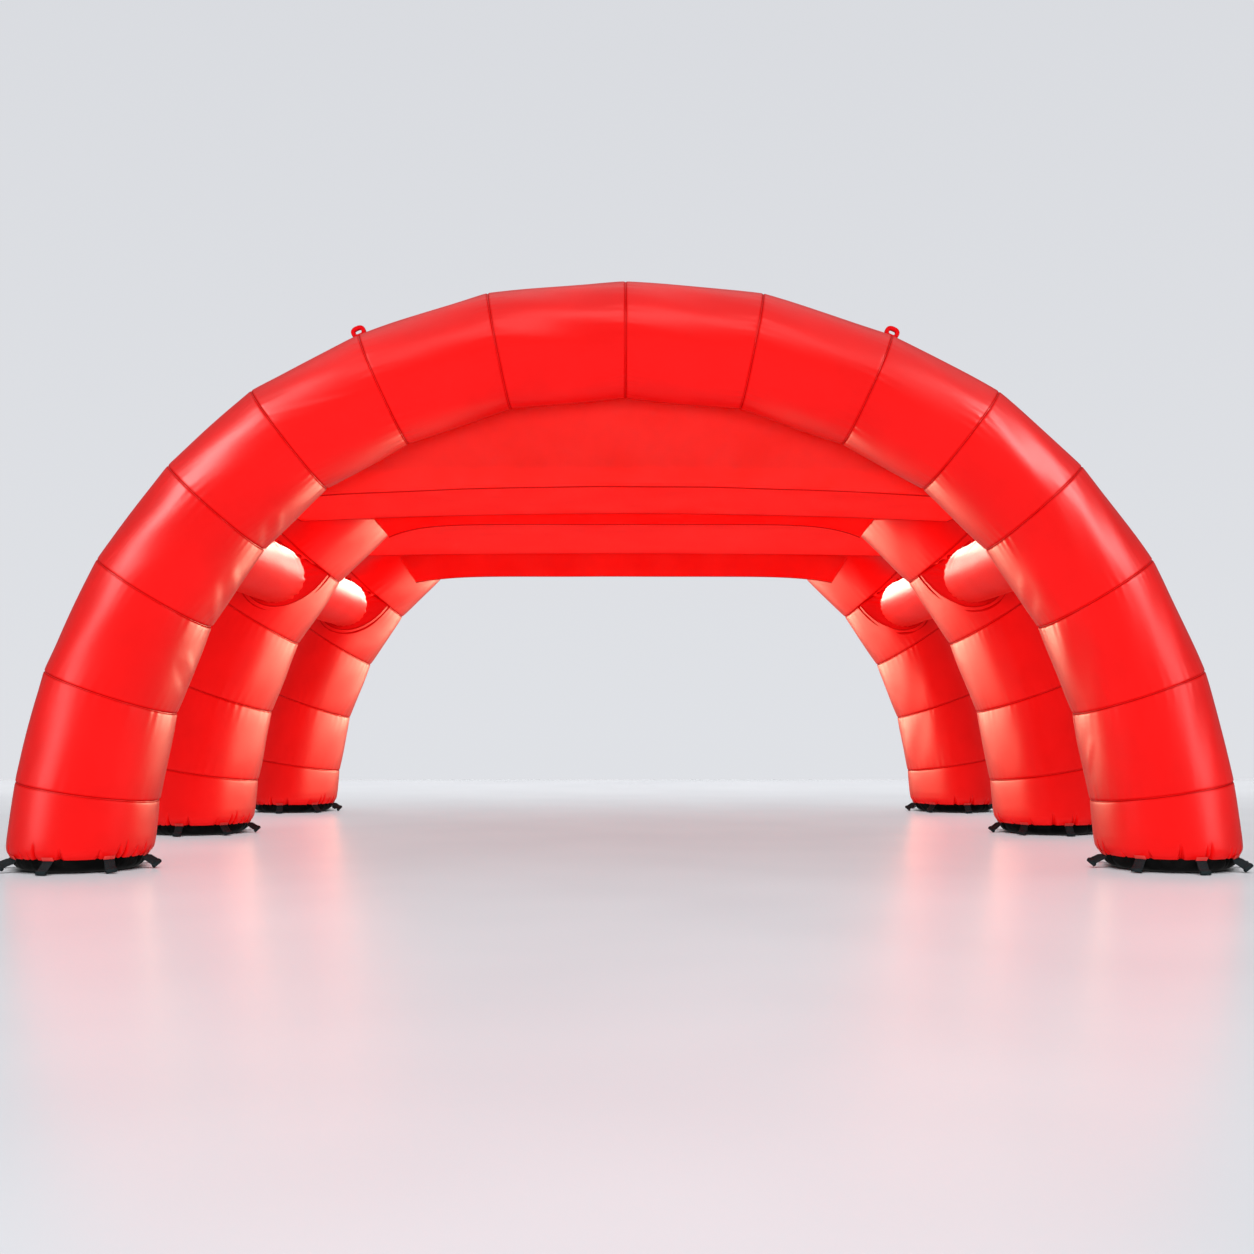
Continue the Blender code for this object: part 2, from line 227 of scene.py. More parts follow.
class Nodes:
    """The node tree of a material or a world, with short calls that add and link nodes."""

    def __init__(self, owner, shader):
        owner.use_nodes = True
        self.tree = owner.node_tree
        self.shader = self.tree.nodes[shader]

    def add(self, kind, sockets=None, **settings):
        node = self.tree.nodes.new(kind)
        for key, value in settings.items():
            setattr(node, key, value)
        for key, value in (sockets or {}).items():
            self.set(node, key, value)
        return node

    def set(self, node, key, value):
        socket = node.inputs[key]
        if isinstance(value, bpy.types.NodeSocket):
            self.tree.links.new(value, socket)
        else:
            socket.default_value = value

    def shade(self, sockets):
        for key, value in sockets.items():
            self.set(self.shader, key, value)

    def uv(self, name):
        return self.add("ShaderNodeUVMap", uv_map=name).outputs["UV"]

    def place(self, kind="Object"):
        return self.add("ShaderNodeTexCoord").outputs[kind]

    def split(self, vector):
        return self.add("ShaderNodeSeparateXYZ", {"Vector": vector}).outputs

    def math(self, operation, *values):
        node = self.add("ShaderNodeMath", operation=operation)
        for index, value in enumerate(values):
            self.set(node, index, value)
        return node.outputs[0]

    def noise(self, vector, scale, detail=2.0):
        sockets = {"Vector": vector, "Scale": scale, "Detail": detail}
        return self.add("ShaderNodeTexNoise", sockets).outputs["Fac"]

    def ramp(self, value, low, high, to_low=0.0, to_high=1.0, kind="LINEAR"):
        names = ("Value", "From Min", "From Max", "To Min", "To Max")
        sockets = dict(zip(names, (value, low, high, to_low, to_high)))
        return self.add("ShaderNodeMapRange", sockets, interpolation_type=kind).outputs["Result"]

    def mix(self, share, one, other):
        node = self.add("ShaderNodeMix", data_type="RGBA")
        for index, value in ((0, share), (6, one), (7, other)):
            self.set(node, index, (*value, 1) if isinstance(value, tuple) else value)
        return node.outputs[2]

    def patches(self, vector, scale, detail=3.0, low=0.35, high=0.65):
        return self.ramp(self.noise(vector, scale, detail), low, high)

    def stitched(self, tone, colour, along, away, row):
        """A tone with a row of stitches at a distance from a seam."""
        on_row = self.math("LESS_THAN", self.math("ABSOLUTE", self.math("SUBTRACT", away, row)), STITCH_REACH)
        step = self.math("FRACT", self.math("DIVIDE", along, STITCH_PITCH))
        stitch = self.math("MULTIPLY", on_row, self.math("LESS_THAN", step, STITCH_SHARE))
        return self.mix(self.math("MULTIPLY", stitch, 0.5), tone, colour)

    def bump(self, height, strength, distance, normal=None):
        sockets = {"Height": height, "Strength": strength, "Distance": distance}
        if normal is not None:
            sockets["Normal"] = normal
        return self.add("ShaderNodeBump", sockets).outputs["Normal"]


def add_world():
    """A pale hall to look at. It lights the tunnel dimly from the front, more from above and behind."""
    world = bpy.data.worlds.new("studio")
    bpy.context.scene.world = world
    nodes = Nodes(world, "Background")
    split = nodes.split(nodes.place("Generated"))
    around = nodes.ramp(split["Y"], -0.3, 0.3, FRONT_POWER, BACK_POWER)
    top = nodes.ramp(split["Z"], 0.55, 0.95, 0.0, TOP_POWER, "SMOOTHSTEP")
    light = nodes.math("ADD", around, top)
    height = nodes.ramp(split["Z"], 0.0, 0.45)
    wall = nodes.mix(height, (0.74, 0.755, 0.79), (0.70, 0.715, 0.75))
    seen = nodes.add("ShaderNodeLightPath").outputs["Is Camera Ray"]
    nodes.shade({"Color": nodes.mix(seen, light, wall)})


# ---------------------------------------------------------------- materials


def new_material(name):
    material = bpy.data.materials.new(name)
    return material, Nodes(material, "Principled BSDF")


def plain_weave(nodes, cloth, pitch):
    """Threads over and under each other in a square weave, from a map in metres."""
    split = nodes.split(cloth)
    turn = 2 * math.pi / pitch
    waves = [nodes.math("SINE", nodes.math("MULTIPLY", split[axis], turn)) for axis in ("X", "Y")]
    return nodes.math("MULTIPLY", *waves)


WEAVE_PITCH = 0.0022
BAG_PITCH = 0.003
WEBBING_PITCH = 0.0036
STITCH_PITCH = 0.0045
STITCH_SHARE = 0.7  # of the pitch
STITCH_REACH = 0.0012  # half a row's width
TUBE_STITCHES = 0.013  # from the seam
SHEET_STITCHES = 0.026  # from the edge
COATED_CLOTHS = (
    # name, darker patches, lighter patches, roughness, gloss
    ("red_cloth", (0.78, 0.0035, 0.0032), (0.88, 0.0045, 0.0042), 0.37, 0.15),
    ("red_spacer_cloth", (0.86, 0.011, 0.007), (0.92, 0.014, 0.009), 0.46, 0.09),
    # A darker copy of the red cloth: painted shade round the joints with the spacers.
    ("red_gusset_cloth_painted_shade", (0.62, 0.0020, 0.0020), (0.70, 0.0024, 0.0024), 0.40, 0.08),
)
SHEET_CLOTHS = (
    # name, darker patches, lighter patches
    ("red_ceiling_cloth", (0.84, 0.010, 0.009), (0.92, 0.014, 0.012)),
    # A paler copy of the ceiling cloth, for the front header only: painted light where the front light falls
    # on its face.
    ("red_header_cloth_painted_light", (0.84, 0.024, 0.020), (0.92, 0.030, 0.026)),
)


def coated_cloth_material(name, dark, light, roughness, gloss):
    """Coated polyester: a fine weave under a satin coat, a little uneven, with stitched seams and a painted
    shade line along each seam.
    """
    material, nodes = new_material(name)
    cloth, place, split = nodes.uv("cloth"), nodes.place(), nodes.split(nodes.uv("seam"))
    tone = nodes.mix(nodes.patches(place, 1.7), dark, light)
    away = nodes.math("ABSOLUTE", split["Y"])
    # Painted shade: a dark red line along each seam, where the seam's groove lies in shade.
    tone = nodes.mix(nodes.ramp(away, 0.004, 0.009, 1.0, 0.0), tone, (0.46, 0.0014, 0.0014))
    slubs = nodes.noise(cloth, 60.0)
    weave = nodes.bump(plain_weave(nodes, cloth, WEAVE_PITCH), 0.06, 0.0003)
    nodes.shade(
        {
            "Base Color": nodes.stitched(tone, (0.55, 0.004, 0.004), split["X"], away, TUBE_STITCHES),
            "Roughness": nodes.ramp(slubs, 0.3, 0.7, roughness - 0.03, roughness + 0.03),
            "Specular IOR Level": nodes.ramp(away, 0.008, 0.016, 0.02, gloss),
            "Normal": nodes.bump(nodes.noise(place, 6.0, 3.0), 0.25, 0.004, weave),
        }
    )
    return material


def sheet_cloth_material(name, dark, light):
    """A single cloth, for ceilings and headers: matt, thin enough for light to come through, with painted
    shade along its edges.
    """
    material, nodes = new_material(name)
    cloth, place, split = nodes.uv("cloth"), nodes.place(), nodes.split(nodes.uv("seam"))
    tone = nodes.mix(nodes.patches(place, 2.3), dark, light)
    tone = nodes.stitched(tone, (0.50, 0.004, 0.004), split["X"], split["Y"], SHEET_STITCHES)
    # Painted shade: a dark red band along the sheet's stitched edges.
    edge = nodes.ramp(split["Y"], 0.006, 0.010, 1.0, 0.0)
    nodes.shade(
        {
            "Base Color": nodes.mix(edge, tone, (0.36, 0.002, 0.002)),
            "Roughness": nodes.ramp(nodes.noise(cloth, 60.0), 0.3, 0.7, 0.66, 0.76),
            "Specular IOR Level": 0.02,
            "Subsurface Weight": 1.0,
            "Subsurface Radius": (0.010, 0.0008, 0.0006),
            "Subsurface Scale": 1.0,
            "Normal": nodes.bump(plain_weave(nodes, cloth, WEAVE_PITCH), 0.15, 0.0003),
        }
    )
    return material


def black_cloth_material():
    material, nodes = new_material("black_cloth")
    cloth, place = nodes.uv("cloth"), nodes.place()
    dust = nodes.patches(place, 9.0, 4.0, 0.4, 0.7)
    weave = nodes.bump(plain_weave(nodes, cloth, BAG_PITCH), 0.2, 0.0004)
    nodes.shade(
        {
            "Base Color": nodes.mix(dust, (0.003, 0.003, 0.003), (0.007, 0.007, 0.007)),
            "Specular IOR Level": 0.05,
            "Roughness": nodes.ramp(dust, 0.0, 1.0, 0.42, 0.56),
            "Normal": nodes.bump(nodes.noise(place, 14.0, 3.0), 0.3, 0.004, weave),
        }
    )
    return material


def webbing_material(name, colour, light):
    """Flat webbing: a coarse weave, a little fuzzy."""
    material, nodes = new_material(name)
    cloth = nodes.uv("cloth")
    weave = plain_weave(nodes, cloth, WEBBING_PITCH)
    fuzz = nodes.noise(cloth, 220.0)
    nodes.shade(
        {
            "Base Color": nodes.mix(nodes.ramp(weave, -1.0, 1.0), colour, light),
            "Specular IOR Level": 0.12,
            "Roughness": nodes.ramp(fuzz, 0.3, 0.7, 0.55, 0.8),
            "Normal": nodes.bump(fuzz, 0.3, 0.0005, nodes.bump(weave, 0.6, 0.0007)),
        }
    )
    return material


def floor_material():
    material, nodes = new_material("floor")
    clouds = nodes.noise(nodes.place(), 0.8, 1.0)
    tone = nodes.mix(clouds, (0.270, 0.280, 0.300), (0.240, 0.250, 0.270))
    nodes.shade({"Base Color": tone, "Roughness": 0.26, "Specular IOR Level": 0.22})
    return material


# ---------------------------------------------------------------- meshes


def full_turn(count):
    return np.linspace(0, 2 * math.pi, count, endpoint=False)


def within_half_turn(angle):
    """The same angle, from minus half a turn to plus half a turn."""
    return (angle + math.pi) % (2 * math.pi) - math.pi


def foot_azimuth(angles):
    """From angles round a tube, outer side over +Y, to angles round its foot, -Y over the outer side."""
    return math.pi - (math.pi / 2 - angles) % (2 * math.pi)


def placed(x, y, z):
    """Points by their coordinates, of which some may be one number for all."""
    return np.stack(np.broadcast_arrays(x, y, z), axis=1)


def quads(rows, columns):
    """The four corners, as (row, column), of each face in a grid of faces."""
    for row in range(rows):
        for column in range(columns):
            yield (row, column), (row, column + 1), (row + 1, column + 1), (row + 1, column)


def mesh_object(name, points, faces, materials, maps=None):
    """A smooth mesh. maps gives each map's (u, v) for every corner of every face, in the faces' order."""
    mesh = bpy.data.meshes.new(name)
    mesh.from_pydata(points.tolist() if isinstance(points, np.ndarray) else points, [], faces)
    for map_name, values in (maps or {}).items():
        layer = mesh.uv_layers.new(name=map_name)
        layer.data.foreach_set("uv", np.asarray(values, np.float32).ravel())
    for material in materials:
        mesh.materials.append(material)
    mesh.shade_smooth()
    obj = bpy.data.objects.new(name, mesh)
    bpy.context.scene.collection.objects.link(obj)
    return obj


def finish_piece(obj, slot, *nodes):
    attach(obj, "root")
    if nodes:
        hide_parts(*nodes)
    return obj


class Waves:
    """A smooth, repeatable unevenness over an angle and a length, from a few seeded waves."""

    def __init__(self, seed, turns, lengths, count=9):
        random = np.random.default_rng(seed)
        self.turns = random.integers(turns[0], turns[1] + 1, count)
        self.per_metre = random.uniform(2 * math.pi / lengths[1], 2 * math.pi / lengths[0], count)
        self.phase = random.uniform(0, 2 * math.pi, count)
        self.size = random.uniform(0.5, 1.0, count)
        self.size /= np.sqrt((self.size**2).sum() / 2)

    def at(self, angle, length):
        total = 0
        for turns, per_metre, phase, size in zip(self.turns, self.per_metre, self.phase, self.size):
            total = total + size * np.sin(turns * angle + per_metre * length + phase)
        return total


# ---------------------------------------------------------------- the arches


def tube_radius(height, scale):
    return CROWN_RADIUS * (1 + TAPER * (1 - height / (CROWN_HEIGHT * scale)))


def half_seams(scale):
    """(x, height, slope of its plane, stretch) of each seam from the crown to the last above a foot."""
    slopes = [-GORES[0][1]] + [slope for _, slope, _ in GORES] + [FOOT_SLOPE]
    x, height = 0.0, CROWN_HEIGHT * scale
    seams = []
    for index, (above, below) in enumerate(zip(slopes, slopes[1:])):
        lean = GORES[index - 1][2] if index else 0.0
        stretch = 1 / math.cos(math.radians(below - above) / 2)
        seams.append((x, height, (above + below) / 2 + lean, stretch))
        if index < len(GORES):
            length = GORES[index][0] * scale
            x += length * math.cos(math.radians(below))
            height -= length * math.sin(math.radians(below))
    return seams


def outward(slope, side=1):
    """Square to the centre line where it has this slope, to the outside of the bend."""
    return np.array((side * math.sin(slope), 0, math.cos(slope)))


def seam_ring(seam, side, along_y, scale, angles):
    x, height, slope, stretch = seam
    radius = tube_radius(height, scale)
    out = outward(math.radians(slope), side)
    centre = np.array((side * x, along_y, height))
    across = np.array((0, 1.0, 0))
    return centre + radius * (np.outer(np.cos(angles), out) * stretch + np.outer(np.sin(angles), across))


def skin_offset(distance):
    """How far the skin stands off the ruled surface between two seams, by the distance to the nearer."""
    groove = GROOVE_DEPTH * np.exp(-((distance / GROOVE_WIDTH) ** 2))
    return SHOULDER * (1 - np.exp(-distance / SHOULDER_REACH)) - groove


class TubeBuilder:
    """Collects the rows of a tube's skin, then turns them into one closed mesh.

    Its seam map measures from the nearer of the two seams.
    """

    def __init__(self):
        self.rows = []  # points, then distances: round it, along it, past the last seam, before the next

    def add(self, points, around, along, past_seam, before_seam):
        self.rows.append((points, around, along, past_seam, before_seam))

    def build(self, name, material):
        points, faces, cloth, seam = [], [], [], []
        starts = []
        for row in self.rows:
            starts.append(len(points))
            points.extend(row[0].tolist())
        for index in range(len(self.rows) - 1):
            self.join(index, starts, faces, cloth, seam)
        for index, flip in ((0, True), (len(self.rows) - 1, False)):
            self.cap(index, flip, starts, points, faces, cloth, seam)
        return mesh_object(name, points, faces, [material], {"cloth": cloth, "seam": seam})

    def corner(self, row, column, upper):
        _, around, along, past_seam, before_seam = self.rows[row]
        count = len(around)
        turn = column // count
        u = around[column % count] + turn * 2 * math.pi * CROWN_RADIUS
        v = past_seam[column % count] if upper else -before_seam[column % count]
        return (u, along[column % count]), (u, v)

    def join(self, index, starts, faces, cloth, seam):
        one, other = len(self.rows[index][1]), len(self.rows[index + 1][1])
        upper = bool(self.rows[index][3][0] < self.rows[index][4][0])
        pieces = []
        if one == other:
            pieces = quads(1, one)
        elif other == 2 * one:
            for column in range(one):
                middle = 2 * column + 1
                pieces.append(((0, column), (0, column + 1), (1, middle)))
                pieces.append(((0, column), (1, middle), (1, middle - 1)))
                pieces.append(((0, column + 1), (1, middle + 1), (1, middle)))
        else:
            for column in range(other):
                middle = 2 * column + 1
                pieces.append(((0, middle), (1, column + 1), (1, column)))
                pieces.append(((0, middle - 1), (0, middle), (1, column)))
                pieces.append(((0, middle), (0, middle + 1), (1, column + 1)))
        counts = (one, other)
        for piece in pieces:
            faces.append([starts[index + row] + column % counts[row] for row, column in piece])
            for row, column in piece:
                on_cloth, on_seam = self.corner(index + row, column, upper)
                cloth.append(on_cloth)
                seam.append(on_seam)

    def cap(self, index, flip, starts, points, faces, cloth, seam):
        """Closes an end with a fan to its centre, out of sight inside the black base."""
        row = self.rows[index][0]
        centre = len(points)
        points.append(row.mean(axis=0).tolist())
        count = len(row)
        for column in range(count):
            pair = [starts[index] + column, starts[index] + (column + 1) % count]
            faces.append([centre] + (pair[::-1] if flip else pair))
            cloth.extend([(0, 0)] * 3)
            seam.extend([(0, 1)] * 3)


PUCKER_DEPTH = 1.9  # times the depths below
PUCKER_HEIGHT = 1.25  # times the heights below
FOOT_PUCKERS = (
    # foot (-1 left, 1 right, 0 both), degrees from -Y towards the outside, height, half width, depth
    (-1, 33, 0.045, 0.010, 0.014),
    (-1, 24, 0.035, 0.008, 0.010),
    (-1, 18, 0.085, 0.011, 0.026),
    (-1, -4, 0.060, 0.013, 0.022),
    (-1, -35, 0.050, 0.010, 0.011),
    (-1, -51, 0.070, 0.011, 0.022),
    (-1, -57, 0.085, 0.010, 0.026),
    (-1, -68, 0.060, 0.010, 0.019),
    (-1, -79, 0.072, 0.010, 0.021),
    (-1, -89, 0.050, 0.009, 0.015),
    (1, 41, 0.050, 0.009, 0.016),
    (1, 35, 0.060, 0.010, 0.020),
    (1, 14, 0.085, 0.010, 0.024),
    (1, 10, 0.075, 0.009, 0.022),
    (1, -11, 0.080, 0.013, 0.024),
    (1, -36, 0.045, 0.010, 0.010),
    (1, -59, 0.040, 0.009, 0.010),
    (1, -80, 0.070, 0.010, 0.024),
    (1, -90, 0.080, 0.010, 0.022),
    (0, -104, 0.060, 0.010, 0.016),
    (0, -121, 0.090, 0.012, 0.024),
    (0, -148, 0.050, 0.010, 0.014),
    (0, -163, 0.080, 0.011, 0.022),
    (0, 52, 0.070, 0.010, 0.018),
    (0, 71, 0.055, 0.010, 0.014),
    (0, 97, 0.085, 0.011, 0.024),
    (0, 118, 0.050, 0.009, 0.013),
    (0, 140, 0.090, 0.012, 0.025),
    (0, 171, 0.060, 0.010, 0.016),
)


def foot_pucker_depth(azimuth, height, radius, side):
    """The gathers at a foot's hem: V-shaped folds that are deepest at the hem and run out above it."""
    depth = 0
    for foot, centre, tall, half_width, deep in FOOT_PUCKERS:
        if foot and foot != side:
            continue
        away = within_half_turn(azimuth - math.radians(centre))
        share = np.clip(1 - (height - HEM_HEIGHT) / (PUCKER_HEIGHT * tall), 0, 1)
        wide = half_width * (0.4 + 0.7 * share)  # narrower towards its top
        depth = depth + PUCKER_DEPTH * deep * share**0.8 * np.exp(-((away * radius / wide) ** 2))
    return depth


HEM_WAVES = (
    # how many round the foot, height, phase
    (7, 0.0030, 1.0),
    (17, 0.0018, 2.0),
)


def hem_height(azimuth):
    height = HEM_HEIGHT
    for count, size, phase in HEM_WAVES:
        height = height + size * np.sin(count * azimuth + phase)
    return height


def foot_x(scale):
    last_x, last_height, _, _ = half_seams(scale)[-1]
    return last_x + (last_height - HEM_HEIGHT) / math.tan(math.radians(FOOT_SLOPE))


def foot_rows(side, along_y, scale):
    """Rows of (points, around, along, past seam, before seam) from just under the last seam to the hem."""
    rows = []
    last = half_seams(scale)[-1]
    last_x, last_height = last[0], last[1]
    for count, reach, shares in FOOT_ROWS:
        angles = full_turn(count)
        ring = seam_ring(last, side, along_y, scale, angles)
        azimuth = foot_azimuth(angles)
        start = ring[:, 2] - FOOT_TOP
        for share in shares:
            height = ring[:, 2] - share if reach else start - (start - hem_height(azimuth)) * share
            below = last_height - height
            centre_x = side * (last_x + below / math.tan(math.radians(FOOT_SLOPE)))
            wide = np.clip(below / (last_height - BELLY_HEIGHT), 0, 1)
            radius = tube_radius(last_height, scale) * (1 - wide) + BELLY_RADIUS * wide
            under = np.clip((BELLY_HEIGHT - height) / TUCK_HEIGHT, 0, 0.95)
            radius = radius - TUCK_DEPTH * (1 - np.sqrt(1 - under**2))
            from_seam = ring[:, 2] - height
            radius = radius + skin_offset(from_seam) * np.clip((height - PLAIN_BELOW) / FADE_OVER, 0, 1)
            radius = radius - foot_pucker_depth(azimuth, height, radius, side)
            x = centre_x + side * radius * np.cos(angles)
            points = placed(x, along_y + radius * np.sin(angles), height)
            rows.append((points, angles * radius, from_seam, from_seam, from_seam * 0 + 1.0))
    return rows


CREASES = (
    # arch, side, gore from the crown; share down the gore and degrees round the tube at one end, then the
    # other; half width, height (a trough below zero)
    # degrees: 0 the outside of the bend, -90 the front, -180 the inside
    ("front", -1, 2, 0.20, -98, 0.97, -77, 0.011, 0.0030),
    ("front", -1, 2, 0.22, -95, 0.97, -73, 0.012, -0.0024),
    ("front", -1, 3, 0.50, -150, 0.72, -186, 0.026, 0.0050),
    ("front", -1, 3, 0.62, -146, 0.86, -180, 0.022, -0.0044),
    ("front", -1, 4, 0.30, -152, 0.52, -188, 0.026, 0.0050),
    ("front", -1, 4, 0.44, -148, 0.70, -184, 0.024, -0.0050),
    ("front", -1, 4, 0.66, -156, 0.86, -186, 0.022, 0.0039),
    ("front", -1, 5, 0.30, -158, 0.50, -188, 0.022, 0.0044),
    ("front", -1, 5, 0.42, -150, 0.66, -184, 0.022, -0.0039),
    ("front", 1, 4, 0.40, -152, 0.62, -186, 0.024, 0.0044),
    ("front", 1, 4, 0.56, -150, 0.76, -182, 0.022, -0.0039),
    ("front", 1, 6, 0.25, -160, 0.60, -178, 0.020, 0.0050),
    ("middle", -1, 2, 0.30, -150, 0.75, -120, 0.020, -0.0060),
    ("middle", 1, 2, 0.35, -120, 0.80, -148, 0.020, -0.0060),
    ("rear", -1, 3, 0.25, -60, 0.80, -85, 0.018, 0.0040),
    ("rear", 1, 5, 0.30, -70, 0.75, -98, 0.018, -0.0040),
    ("rear", 1, 2, 0.20, 75, 0.90, 98, 0.018, 0.0045),
    ("rear", -1, 4, 0.25, 105, 0.75, 80, 0.018, -0.0045),
)
ROWS_WITH_CREASES = 13


def creases_on(name, side, gore):
    return [row[3:] for row in CREASES if row[:3] == (name, side, gore)]


def crease_lift(creases, share, length, angles):
    """How far creases lift the skin of a gore, at a share of its length, for each angle round it."""
    turn = (angles + 1.5 * math.pi) % (2 * math.pi) - 1.5 * math.pi
    here = np.stack([share * length, turn * CROWN_RADIUS], axis=1)
    lift = np.zeros(len(angles))
    for share_1, turn_1, share_2, turn_2, half_width, height in creases:
        start = np.array((share_1 * length.mean(), math.radians(turn_1) * CROWN_RADIUS))
        run = np.array((share_2 * length.mean(), math.radians(turn_2) * CROWN_RADIUS)) - start
        along = np.clip((here - start) @ run / (run @ run), 0, 1)
        away = np.linalg.norm(here - start - np.outer(along, run), axis=1)
        lift += height * np.exp(-((away / half_width) ** 2)) * (1 - (2 * along - 1) ** 4)
    return lift


def gore_rows(upper, lower, rows_between):
    """Rows between two seam rings, kept close together beside each seam."""
    span = lower - upper
    length = np.linalg.norm(span, axis=1)
    direction = span / length[:, None]
    middle = length - 2 * NEAR_SEAM[-1]
    distances = [np.full_like(length, near) for near in NEAR_SEAM]
    for step in range(1, rows_between + 1):
        distances.append(NEAR_SEAM[-1] + middle * step / (rows_between + 1))
    distances += [length - near for near in reversed(NEAR_SEAM)]
    return [(upper + direction * d[:, None], d, length - d) for d in distances]


def build_arch(arch, material):
    """The whole tube as one skin, from the left hem over the crown to the right hem."""
    name, along_y, scale, seed = arch
    angles = full_turn(TUBE_SIDES)
    seams = half_seams(scale)
    rings = [seam_ring(seam, -1, along_y, scale, angles) for seam in reversed(seams[1:])]
    rings += [seam_ring(seam, 1, along_y, scale, angles) for seam in seams]
    slow = Waves(seed, (1, 3), (0.9, 2.4))
    puckers = Waves(seed + 1, (24, 52), (0.3, 0.9), 14)
    wander = Waves(seed + 2, (1, 6), (0.7, 2.0))
    slopes = [-slope for _, slope, _ in reversed(GORES)] + [slope for _, slope, _ in GORES]
    builder = TubeBuilder()
    around = angles * CROWN_RADIUS
    for row in reversed(foot_rows(-1, along_y, scale)):
        builder.add(row[0], row[1], -row[2], row[4], row[3])
    inner = 0.5 - 0.5 * np.cos(angles)  # 0 on the outside of the bend, 1 on the inside
    along = np.zeros(TUBE_SIDES)
    for index, ring in enumerate(rings):
        before = math.radians(slopes[index - 1]) if index else math.radians(-FOOT_SLOPE)
        after = math.radians(slopes[index]) if index < len(slopes) else math.radians(FOOT_SLOPE)
        normal = skin_normal(angles, (before + after) / 2)
        points = ring + normal * (skin_offset(0.0) + SEAM_WANDER * slow.at(angles, along))[:, None]
        builder.add(points, around, along, np.zeros(TUBE_SIDES), np.full(TUBE_SIDES, 1.0))
        if index == len(rings) - 1:
            break
        normal = skin_normal(angles, after)
        side, gore = (-1, len(GORES) - 1 - index) if index < len(GORES) else (1, index - len(GORES))
        creases = creases_on(name, side, gore)
        rows_between = ROWS_WITH_CREASES if creases else ROWS_BETWEEN
        for points, past, left in gore_rows(ring, rings[index + 1], rows_between):
            near = np.minimum(past, left)
            wobble = GORE_WOBBLE * wander.at(angles, along + past)
            ripple = (RIPPLE + RIPPLE_INSIDE * inner) * puckers.at(angles, along + past)
            ripple = ripple * np.exp(-near / RIPPLE_REACH)
            ripple = ripple * np.clip(near / 0.01, 0, 1)
            offset = skin_offset(near) + wobble * np.clip(near / 0.2, 0, 1) + ripple
            share = (past if side > 0 else left) / (past + left)
            offset = offset + crease_lift(creases, share, past + left, angles)
            builder.add(points + normal * offset[:, None], around, along + past, past, left)
        along = along + np.linalg.norm(rings[index + 1] - ring, axis=1)
    for row in foot_rows(1, along_y, scale):
        builder.add(row[0], row[1], along[0] + row[2], row[3], row[4])
    skin = builder.build(f"{name}_arch", material)
    finish_piece(skin, "red_cloth", f"arch_{name}")
    return skin


def skin_normal(angles, slope):
    return np.outer(np.cos(angles), outward(slope)) + np.outer(np.sin(angles), np.array((0, 1.0, 0)))


# ---------------------------------------------------------------- the spacers and the gussets round them

SPACER_SIDES = 128
SPACER_STEPS = 60
SPACER_SUNK = 0.012  # how far its ends go into the arches
SPACER_NEAR_END = (0.0, 0.010, 0.020, 0.032, 0.046, 0.064, 0.088, 0.12, 0.16, 0.22)  # rows, from a sewn end
SPACER_BULGE = 0.004  # in the middle
SPACER_LIP = 0.004  # at its sewn ends
SPACER_LIP_REACH = 0.015
SPACER_GATHERS = 0.0035
SPACER_GATHERS_REACH = 0.05
SPACER_WOBBLE = 0.0016
SPACER_LENGTH = 2.2  # about, from arch to arch
SPACER_CREASE_WIDTH = 0.013
SPACER_CREASE_REACH = 0.35  # angle round the tube
SPACER_CREASES = (
    # angle round the tube, share of its length, depth
    (2.20, 0.66, 0.016),
    (2.62, 0.90, 0.012),
    (2.00, 0.84, 0.012),
    (0.90, 0.35, 0.010),
)
SPACER_SEAM = 4  # the seam above the joints
GORE_MARGIN = 0.02  # how far past its seams a gore still counts
GUSSET_WIDTH = 0.40  # half, round the tube
GUSSET_LENGTH = 0.555  # down from the seam
GUSSET_TOP = 0.014  # below the seam
GUSSET_PAST_LINE = 0.050  # how far its edge lies past the sewn line
GUSSET_PAST_TOP = 0.005
GUSSET_HIDDEN = 0.205  # its inner edge, inside the spacer
GUSSET_THICK = 0.0012
GUSSET_LIFT = 0.004  # where it isn't sewn down
GUSSET_LIFT_REACH = 0.02
GUSSET_STITCH_DEPTH = 0.012
GUSSET_STITCH_WIDTH = 0.011
GUSSET_TUCK = 0.012  # how far its edge sinks into the tube
GUSSET_FADE_LEAST = 0.02
GUSSET_FOLD = 0.0100
GUSSET_FOLD_RISE = 0.03  # from the spacer
GUSSET_FOLD_FALL = 0.012  # to the sewn line
GUSSET_MAP_RADIUS = 0.3
GUSSET_SEAM_MAP = 0.3  # its seam map against real distances, which widens the painted shade line along its sewn ring
GUSSET_RAYS = 144
GUSSET_STEPS = 14
GUSSET_BEFORE_LINE = (0.034, 0.022, 0.014, 0.009, 0.005, 0.002, 0.0)
GUSSET_BEYOND_LINE = (0.06, 0.12, 0.2, 0.35, 0.55, 0.8, 1.0)  # shares of what lies past it
JOINT_BELOW_SEAM = 0.268


def gore_line(index, scale):
    """The centre line of a gore on the right: its upper end and its unit direction, in (x, height)."""
    upper, lower = half_seams(scale)[index : index + 2]
    start = np.array(upper[:2])
    step = np.array(lower[:2]) - start
    return start, step / np.linalg.norm(step), np.linalg.norm(step)


